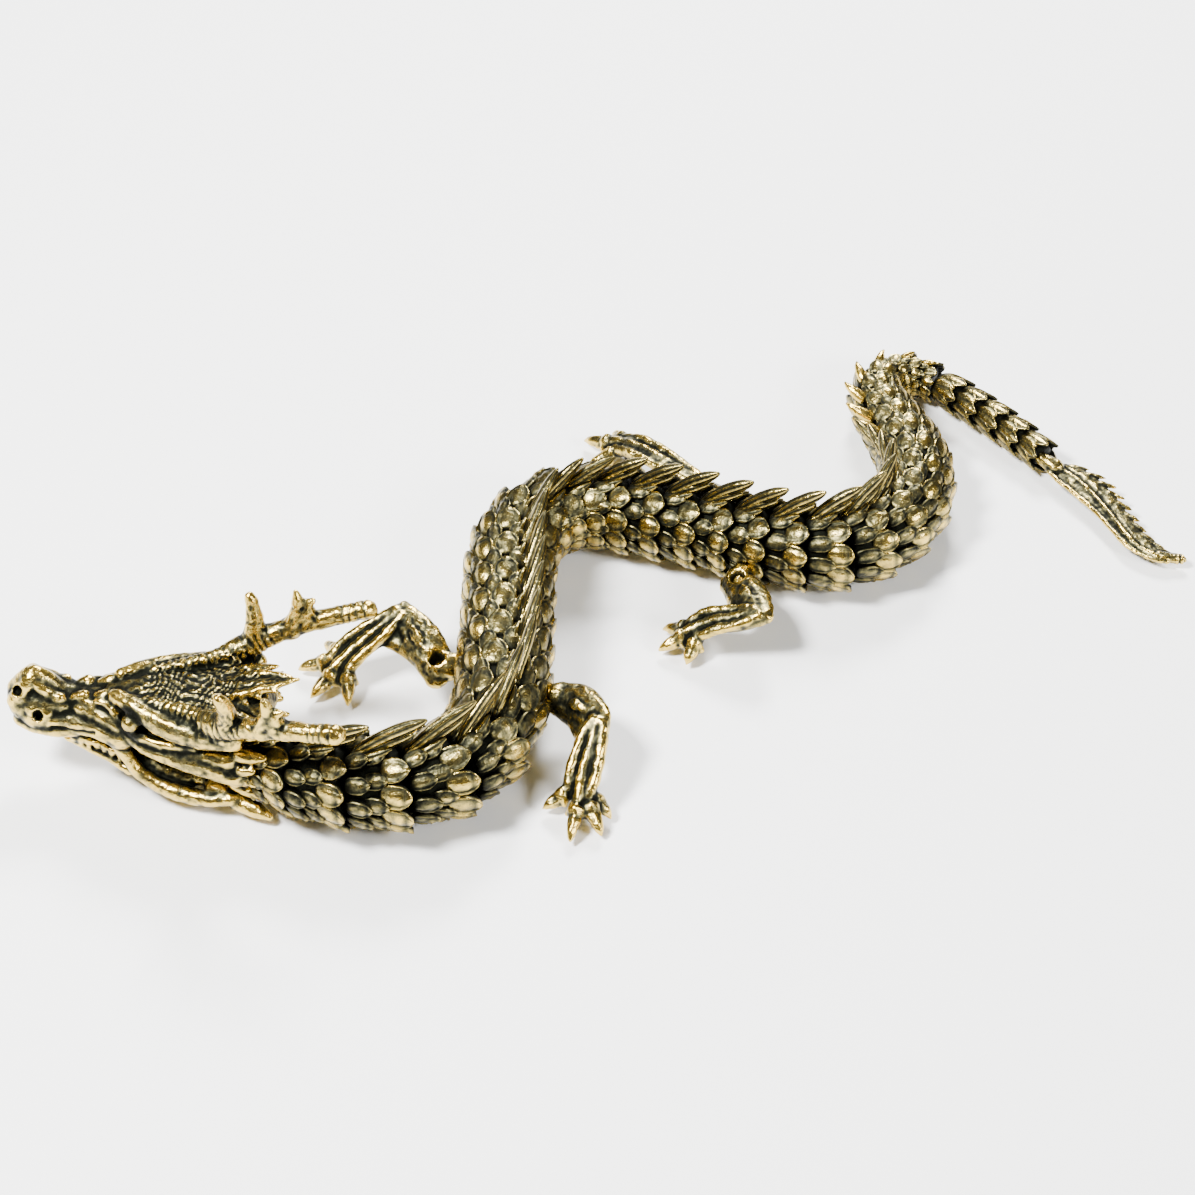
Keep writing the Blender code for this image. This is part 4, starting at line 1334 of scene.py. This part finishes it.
@dataclass
class DragonHead:
    """The head as one casting: x runs to the nose, y to its left side, z up."""

    place: Row = (-62.1, -38.0, 11.0)
    yaw: float = 7.0
    voxel: float = 0.34
    skull: tuple[Row, ...] = (
        (-1.5, 5.6, 6.2, 0.6), (3.0, 8.4, 8.0, 1.6), (11.0, 8.0, 7.4, 1.4), (18.0, 6.0, 5.6, 1.8),
        (24.0, 4.6, 4.4, 1.6), (31.0, 4.0, 3.7, 2.0), (36.4, 4.5, 4.0, 3.2), (40.0, 3.8, 3.4, 3.2),
        (41.5, 2.2, 2.0, 3.0),
    )
    lower_jaw: tuple[Row, ...] = (
        (0.5, 5.5, 2.6, -6.4), (5.0, 7.4, 3.2, -6.6), (11.0, 7.4, 3.1, -6.6), (17.5, 6.0, 2.6, -5.6),
        (25.0, 4.0, 2.0, -3.8), (31.0, 3.0, 1.4, -2.4), (34.5, 1.8, 0.8, -1.8),
    )
    crown: tuple[Row, ...] = (
        (23.5, 3.2, 2.8, 5.2), (18.0, 5.2, 3.6, 5.6), (11.0, 7.3, 3.9, 5.8), (4.0, 8.9, 3.9, 6.0),
        (-2.0, 8.4, 3.5, 6.6), (-5.5, 5.4, 2.2, 7.4),
    )
    crown_middle: Row = (8.0, 0.0, 9.5)
    # Paired forms, as points with a radius, on the left side
    brow: tuple[Row, ...] = (
        (21.6, 2.7, 8.4, 1.3), (17.8, 4.8, 8.2, 1.8), (13.6, 6.8, 7.4, 2.2), (9.1, 8.2, 6.8, 2.5),
        (4.1, 9.2, 6.8, 2.5), (-1.0, 10.0, 7.0, 1.9))
    horn_ridge: tuple[Row, ...] = (
        (16.0, 3.9, 8.8, 1.0), (10.6, 5.7, 9.3, 1.3), (5.4, 7.6, 9.9, 1.6), (0.8, 9.8, 10.8, 2.1))
    horn: tuple[Row, ...] = (
        (4.0, 8.2, 9.6, 2.3), (0.8, 10.2, 10.6, 2.4), (-3.6, 11.9, 12.4, 2.0), (-8.2, 13.2, 13.9, 1.9),
        (-14.8, 14.8, 15.4, 1.75), (-20.2, 15.8, 16.5, 1.85))
    tine: tuple[Row, ...] = (
        (-0.2, 10.6, 11.0, 2.4), (-0.7, 11.7, 15.0, 1.8), (-0.3, 12.7, 18.4, 1.35), (0.2, 13.0, 19.8, 1.1))
    pairs: tuple[tuple[Row, ...], ...] = (
        # Flared second tine, one fin with a hook behind
        ((-6.9, 12.8, 13.2, 2.2), (-8.3, 13.4, 16.6, 1.7), (-8.2, 13.7, 19.2, 1.2),
         (-7.9, 13.9, 20.9, 0.7)),
        ((-9.4, 13.5, 14.8, 2.0), (-9.5, 13.8, 17.0, 1.7), (-9.9, 14.0, 18.4, 1.1),
         (-10.9, 14.2, 19.0, 0.6)),
        # Lower lid, and the fold that runs from the bridge under the eye to the cheek
        ((20.6, 5.4, 5.4, 0.5), (18.2, 7.1, 4.0, 0.5), (15.6, 7.6, 4.2, 0.4)),
        ((24.8, 3.0, 7.0, 0.6), (22.8, 3.7, 7.0, 0.75), (21.2, 4.6, 5.8, 0.75), (20.0, 5.6, 3.9, 0.7),
         (17.6, 6.9, 3.2, 0.8), (15.2, 7.8, 3.2, 0.8), (11.0, 8.7, 3.2, 0.8), (6.6, 9.3, 3.8, 0.7)),
        # Side of the snout, and the wave along it
        ((36.8, 3.0, 2.0, 2.2), (31.0, 3.2, 2.0, 2.1), (25.0, 4.2, 2.0, 2.3), (20.0, 5.4, 1.2, 2.5)),
        ((28.0, 2.4, 4.6, 1.8), (24.0, 3.6, 4.2, 2.0), (20.6, 4.8, 3.4, 2.1)),
        ((37.9, 1.8, 4.8, 2.2), (34.2, 2.0, 4.7, 2.1), (30.6, 2.0, 4.4, 1.9)),
        # Broad side of the face, and the slope from the brow up to the horn ridge
        ((16.6, 6.2, 1.2, 1.7), (10.0, 7.9, 1.3, 2.0), (4.0, 8.9, 1.5, 2.0), (0.4, 9.3, 1.5, 1.6)),
        ((15.6, 4.8, 7.6, 1.7), (9.6, 7.0, 7.5, 2.1), (4.0, 8.8, 7.8, 2.2), (0.0, 10.2, 8.2, 2.0)),
        ((29.4, 3.4, 3.0, 0.7), (28.2, 3.2, 5.0, 0.8), (26.6, 2.8, 6.2, 0.9), (25.0, 3.7, 5.4, 0.9),
         (23.1, 4.5, 3.9, 0.9), (20.8, 5.5, 2.5, 0.8), (18.4, 6.3, 1.8, 0.6)),
        # Knobs of the bridge
        ((33.4, 2.4, 5.9, 0.9), (31.6, 2.4, 6.4, 1.1)),
        ((29.2, 1.9, 6.2, 0.9), (27.4, 1.9, 6.9, 1.2)),
        ((25.2, 1.7, 6.8, 0.9), (23.4, 1.9, 7.4, 1.2)),
        # Muzzle: from the nostrils up to the nose knob and down to the bridge
        ((39.9, 2.0, 4.4, 1.8), (38.3, 1.8, 7.0, 1.6), (37.0, 0.9, 8.9, 1.6)),
        ((36.4, 1.0, 8.6, 1.4), (34.2, 1.7, 7.2, 1.4), (32.2, 1.9, 5.6, 1.3)),
        ((36.6, 3.0, 4.0, 1.9), (34.0, 3.4, 3.4, 1.7)),
        # Upper lip, which curls down and becomes the edge of the jaw
        ((39.5, 2.2, 0.4, 1.5), (37.3, 3.1, 0.1, 1.5), (34.3, 3.7, -0.1, 1.45), (30.9, 4.1, 0.2, 1.3),
         (27.5, 4.1, 1.0, 1.1), (24.4, 4.7, 1.2, 1.15), (21.9, 5.5, 0.2, 1.2), (19.9, 6.2, -2.3, 1.25),
         (17.9, 6.9, -5.4, 1.3), (14.6, 7.8, -7.2, 1.45), (10.2, 8.8, -8.2, 1.6), (5.4, 9.5, -8.4, 1.5),
         (0.6, 9.8, -7.6, 1.2)),
        # Thin lower lip
        ((31.4, 3.2, -2.3, 0.6), (27.4, 3.9, -3.8, 0.7), (23.5, 4.7, -5.2, 0.75), (19.6, 5.9, -6.6, 0.9)),
        # Cheek fold and its curled lobes
        ((19.4, 6.4, 3.4, 0.6), (17.1, 7.3, 1.4, 1.1), (13.2, 8.2, 0.9, 1.6), (8.8, 8.9, 0.5, 2.1),
         (4.4, 9.4, -0.1, 2.3), (1.0, 9.7, -1.2, 2.1), (-2.4, 10.0, -2.2, 1.4)),
        ((-1.6, 10.4, 0.2, 0.9), (-4.0, 10.9, 0.9, 0.75)),
        ((-2.4, 10.5, -1.8, 0.95), (-4.2, 10.9, -2.3, 0.75)),
        ((1.0, 10.2, -1.8, 0.9), (-0.6, 10.6, -3.0, 0.75)),
        # Pointed scales behind the cheek and the jaw
        ((0.6, 8.2, 2.2, 1.5), (-3.6, 9.4, 2.9, 1.3), (-6.2, 9.8, 3.0, 0.5)),
        ((0.2, 8.6, -4.6, 1.4), (-3.0, 9.8, -5.2, 1.2), (-5.4, 10.4, -5.6, 0.5)),
        ((4.0, 7.6, -7.2, 2.0), (-1.0, 9.4, -8.6, 1.7), (-4.6, 10.7, -9.2, 1.3), (-6.2, 11.3, -9.5, 0.8)),
        # Rim and barbs of the long middle leaf of the mane
        ((3.0, 1.6, 8.9, 1.0), (-1.0, 2.3, 10.8, 0.95), (-5.0, 1.9, 12.2, 0.8), (-9.2, 0.7, 13.2, 0.45)),
        ((0.4, 2.2, 9.8, 0.8), (-2.2, 3.8, 10.2, 0.3)),
        ((-2.2, 2.1, 11.0, 0.8), (-4.8, 3.5, 11.3, 0.3)),
        ((-5.0, 1.7, 12.0, 0.7), (-7.4, 2.6, 12.4, 0.3)),
        # Locks of the mane behind the ears
        ((5.0, 4.6, 7.4, 2.2), (0.0, 5.8, 8.4, 1.5), (-3.6, 6.8, 9.0, 0.9), (-5.6, 7.2, 9.2, 0.35)),
        ((4.0, 5.6, 5.0, 2.2), (-1.0, 7.2, 5.8, 1.5), (-4.6, 8.2, 6.4, 0.4)),
        ((2.0, 6.6, 1.4, 2.0), (-2.4, 7.8, 1.2, 1.4), (-5.0, 8.6, 1.2, 0.4)),
    )
    middles: tuple[tuple[Row, ...], ...] = (
        ((40.1, 0.0, 5.2, 1.9), (38.3, 0.0, 7.8, 1.9), (36.6, 0.0, 9.4, 1.7), (34.4, 0.0, 8.0, 1.7),
         (31.4, 0.0, 5.2, 2.1), (26.0, 0.0, 4.9, 2.3), (22.0, 0.0, 5.4, 2.3)),
        ((7.0, 0.0, 7.0, 2.6), (1.0, 0.0, 9.2, 1.8), (-5.0, 0.0, 11.4, 1.2), (-10.6, 0.0, 13.4, 0.4)),
    )
    eye: Row = (18.1, 7.0, 6.2)
    eye_radius: float = 1.7
    teeth: int = 7
    # Groove over the upper lip, on the left side
    lip_groove: tuple[Row, ...] = ((33.0, 4.4, 1.6), (29.0, 4.9, 1.8), (25.0, 5.8, 2.2))
    nostrils: tuple[Row, ...] = ((35.6, 3.0, 2.3), (39.5, 0.0, 5.0))
    nostril_radius: float = 0.9
    nostril_depth: float = 1.8
    drill_line: Row = (0.091, -0.737, -0.669)

    def frame(self) -> Matrix:
        """Return the head's frame in the pose."""
        turn = Matrix.Rotation(math.radians(180 - self.yaw), 4, "Z")
        return Matrix.Translation(Vector(self.place)) @ turn

    def shapes(self) -> list[Shape]:
        """Make skull, jaws, horns, eyes and teeth.

        Returns:
            Every shape of the head.
        """
        made = []
        for rows in (self.skull, self.lower_jaw, self.crown):
            fine = smooth_rows([(x, 0.0, middle, wide, high) for x, wide, high, middle in rows], 3)
            made.append(Workshop.sweep(fine, 24))
        for rows in (self.brow, self.horn_ridge, self.horn, self.tine) + self.pairs:
            made += [Workshop.bar(rows), Workshop.bar(Workshop.mirrored(rows))]
        made += [Workshop.bar(rows) for rows in self.middles]
        for side in (-1, 1):
            made.append(Workshop.bead((self.eye[0], side * self.eye[1], self.eye[2]), (self.eye_radius,) * 3))
        for step in range(self.teeth):
            share = step / (self.teeth - 1)
            x, y, z = Vector((29.6 - 8.4 * share, 3.9 + 1.4 * share, -1.2 - 2.2 * share * share))
            tooth = ((x, -y, z, 0.75), (x + 0.2, -y, z - 1.3, 0.4))
            made += [Workshop.bar(rows, 8, 2) for rows in (tooth, Workshop.mirrored(tooth))]
        return made

    def carve(self, chisel: Chisel) -> np.ndarray:
        """Carve the finer marks.

        Args:
            chisel: holds the head's skin.
        Returns:
            The shine at every point.
        """
        for rows, spacing, reach in ((self.horn[:3], 1.3, 1.2), (self.horn[-2:], 1.3, 1.2),
                                     (self.horn_ridge, 1.2, 1.0)):
            chisel.ribs(rows, spacing, 0.12, reach)
            chisel.ribs(Workshop.mirrored(rows), spacing, 0.12, reach)
        for rows in (self.tine, Workshop.mirrored(self.tine)):
            chisel.hair(rows[1][:3], (3.2, 3.2, 7.0), (0.0, 0.1, 1.0), 1.1, 0.12)
        # Pebbled skin between the brows
        chisel.pebble(self.crown_middle, (13.0, 7.0, 5.0), 2.2, 0.40)
        chisel.hair(self.crown_middle, (13.0, 7.0, 5.0), (1.0, 0.0, -0.1), 1.9, 0.16)
        for side in (-1, 1):
            chisel.pebble((2.0, side * 7.0, 9.0), (6.0, 3.0, 4.0), 1.7, 0.35)
            chisel.hair((-4.0, side * 6.5, 7.0), (6.0, 4.0, 5.0), (1.0, side * -0.3, -0.1), 1.0, 0.15)
            chisel.hair((-10.0, side * 13.0, 14.5), (13.0, 5.0, 5.0), (1.0, side * -0.25, -0.25), 1.4, 0.08)
            chisel.hair((0.0, side * 9.8, -0.5), (5.0, 3.0, 2.4), (0.5, side * 0.1, 1.0), 1.3, 0.12)
        chisel.hair((-3.0, 0.0, 11.0), (9.0, 4.5, 3.5), (1.0, 0.0, -0.35), 1.0, 0.15)
        chisel.roughen(2.2, 0.20, 1)
        chisel.roughen(0.9, 0.17, 2)
        chisel.cut((Workshop.mirrored(self.lip_groove), self.lip_groove), 0.4, 0.35)
        # Painted shade: the inside of each nostril is darkened to black, as deep as the drill went
        holes = np.zeros(len(chisel.points))
        line = Vector(self.drill_line)
        for spot in self.nostrils:
            mouth = Vector(spot) - line * 20.0
            holes = np.maximum(holes, chisel.drill(mouth, line, self.nostril_radius, self.nostril_depth))
        # Painted shade in the sockets round the eyes, both measured on the left side
        folded = chisel.points.copy()
        folded[:, 1] = np.abs(folded[:, 1])
        away = np.linalg.norm(folded - self.eye, axis=1)
        socket = np.clip(1.6 - np.abs(away - self.eye_radius - 0.8) / 0.7, 0, 1)
        # The pebbled skin keeps more of its patina
        skin = np.linalg.norm((chisel.points - self.crown_middle) / (12.0, 6.0, 5.0), axis=1)
        patina = 0.16 * np.clip(1.6 - 1.4 * skin, 0, 1)
        return (chisel.shine(4, 34, 0.46) - patina) * (1 - holes) * (1 - 0.85 * socket)

    def make(self, dressing: Dressing) -> None:
        """Make and place the head.

        Args:
            dressing: places the casting.
        """
        mesh = Workshop.cast(self.shapes(), self.voxel)
        chisel = Chisel(mesh)
        chisel.smooth(2)
        chisel.keep(self.carve(chisel))
        dressing.place("head_casting", mesh, ["head"], self.frame())


@dataclass
class Studio:
    """Pale floor, soft lights and the camera, which looks down at the dragon's left side."""

    target: Vector = field(default_factory=lambda: Vector((0.0, 0.0, 8.0)) - POSE_CENTRE)
    down: float = 42.0
    away: float = 592.0
    lens: float = 96.4
    sensor_width: float = 36.0
    floor_size: float = 6000.0
    floor_drop: float = 0.2
    room_colour: str = "#F4F6FA"
    room_strength: float = 0.11

    def make(self) -> None:
        """Set the stage."""
        camera_data = bpy.data.cameras.new("camera")
        camera_data.lens = self.lens
        camera_data.sensor_width = self.sensor_width
        camera = add_object("camera", camera_data)
        pitch = math.radians(self.down)
        look = Vector((0.0, -math.cos(pitch), math.sin(pitch)))
        camera.location = (self.target + look * self.away) * METRES_PER_MM
        camera.rotation_euler = (math.radians(90.0 - self.down), 0.0, 0.0)
        bpy.context.scene.camera = camera
        surface = bmesh.new()
        half = self.floor_size / 2 * METRES_PER_MM
        bmesh.ops.create_grid(surface, x_segments=1, y_segments=1, size=half)
        mesh = bpy.data.meshes.new("paper_floor")
        surface.to_mesh(mesh)
        surface.free()
        mesh.transform(Matrix.Translation((0.0, 0.0, -self.floor_drop * METRES_PER_MM)))
        mesh.materials.append(PaperSweep().material())
        floor = add_object("paper_floor", mesh)
        self.lights()

    def lights(self) -> None:
        """Hang the soft boxes and fill the room with even light."""
        boxes = (
            ("key", (-380.0, -200.0, 640.0), 170.0, 21.0),
            ("fill", (520.0, -420.0, 420.0), 170.0, 6.5),
            ("back", (80.0, 560.0, 520.0), 200.0, 14.0),
        )
        for name, spot, size, power in boxes:
            data = bpy.data.lights.new(name, "AREA")
            data.shape = "SQUARE"
            data.size = size * METRES_PER_MM
            data.energy = power
            lamp = add_object(name, data)
            lamp.location = Vector(spot) * METRES_PER_MM
            lamp.rotation_euler = (self.target - Vector(spot)).to_track_quat("-Z", "Y").to_euler()
        world = bpy.data.worlds.new("room")
        world.use_nodes = True
        sky = world.node_tree.nodes["Background"]
        sky.inputs["Color"].default_value = linear(self.room_colour)
        sky.inputs["Strength"].default_value = self.room_strength
        bpy.context.scene.world = world


LEGS: tuple[Leg, ...] = (
    Leg("front_leg_left", (-9.0, -30.2, 8.2), (0.6, -35.4, 11.1), (-2.7, -45.2, 4.6),
        ((-9.6, -47.2, 0.3), (-4.8, -55.2, 0.3), (0.6, -53.6, 0.3), (2.4, -49.6, 0.3)), open_top=False),
    Leg("front_leg_right", (-26.4, -16.6, 7.4), (-35.4, -7.6, 11.0), (-45.6, -12.4, 4.6),
        ((-54.9, -11.6, 0.3), (-52.2, -19.2, 0.3), (-45.3, -21.3, 0.3), (-50.4, -4.8, 0.3))),
    Leg("hind_leg_left", (22.8, 8.0, 7.0), (30.2, -6.4, 9.3), (19.2, -4.3, 4.6),
        ((12.2, -0.8, 0.3), (11.4, -6.4, 0.3), (16.4, -10.2, 0.3), (19.2, 2.4, 0.3))),
    Leg("hind_leg_right", (29.0, 25.0, 5.0), (19.8, 34.4, 6.0), (6.4, 48.6, 4.4),
        ((3.2, 57.0, 0.3), (-2.7, 54.9, 0.3), (-1.6, 47.2, 0.3), (7.4, 41.4, 0.3))),
)


def main() -> None:
    """Make the studio and every casting, then log how many pieces and triangles they have."""
    logging.basicConfig(level=logging.INFO, format="%(name)s: %(message)s")
    Studio().make()
    dressing = Dressing(AntiqueBrass().material("antique_cast_brass"))
    chain = Chain(BODY_ROUTE)
    studs: dict[int, list[tuple[Vector, Vector]]] = {}
    for leg in LEGS:
        index, start, end = leg.mount(chain)
        studs.setdefault(index, []).append((start, end))
        leg.make(dressing)
    Body(chain).make(dressing, studs)
    TailLinks().make(dressing)
    TailLeaf().make(dressing)
    DragonHead().make(dressing)
    LOG.info("%d pieces, %d triangles", dressing.pieces, dressing.triangles)


if __name__ == "__main__":
    main()
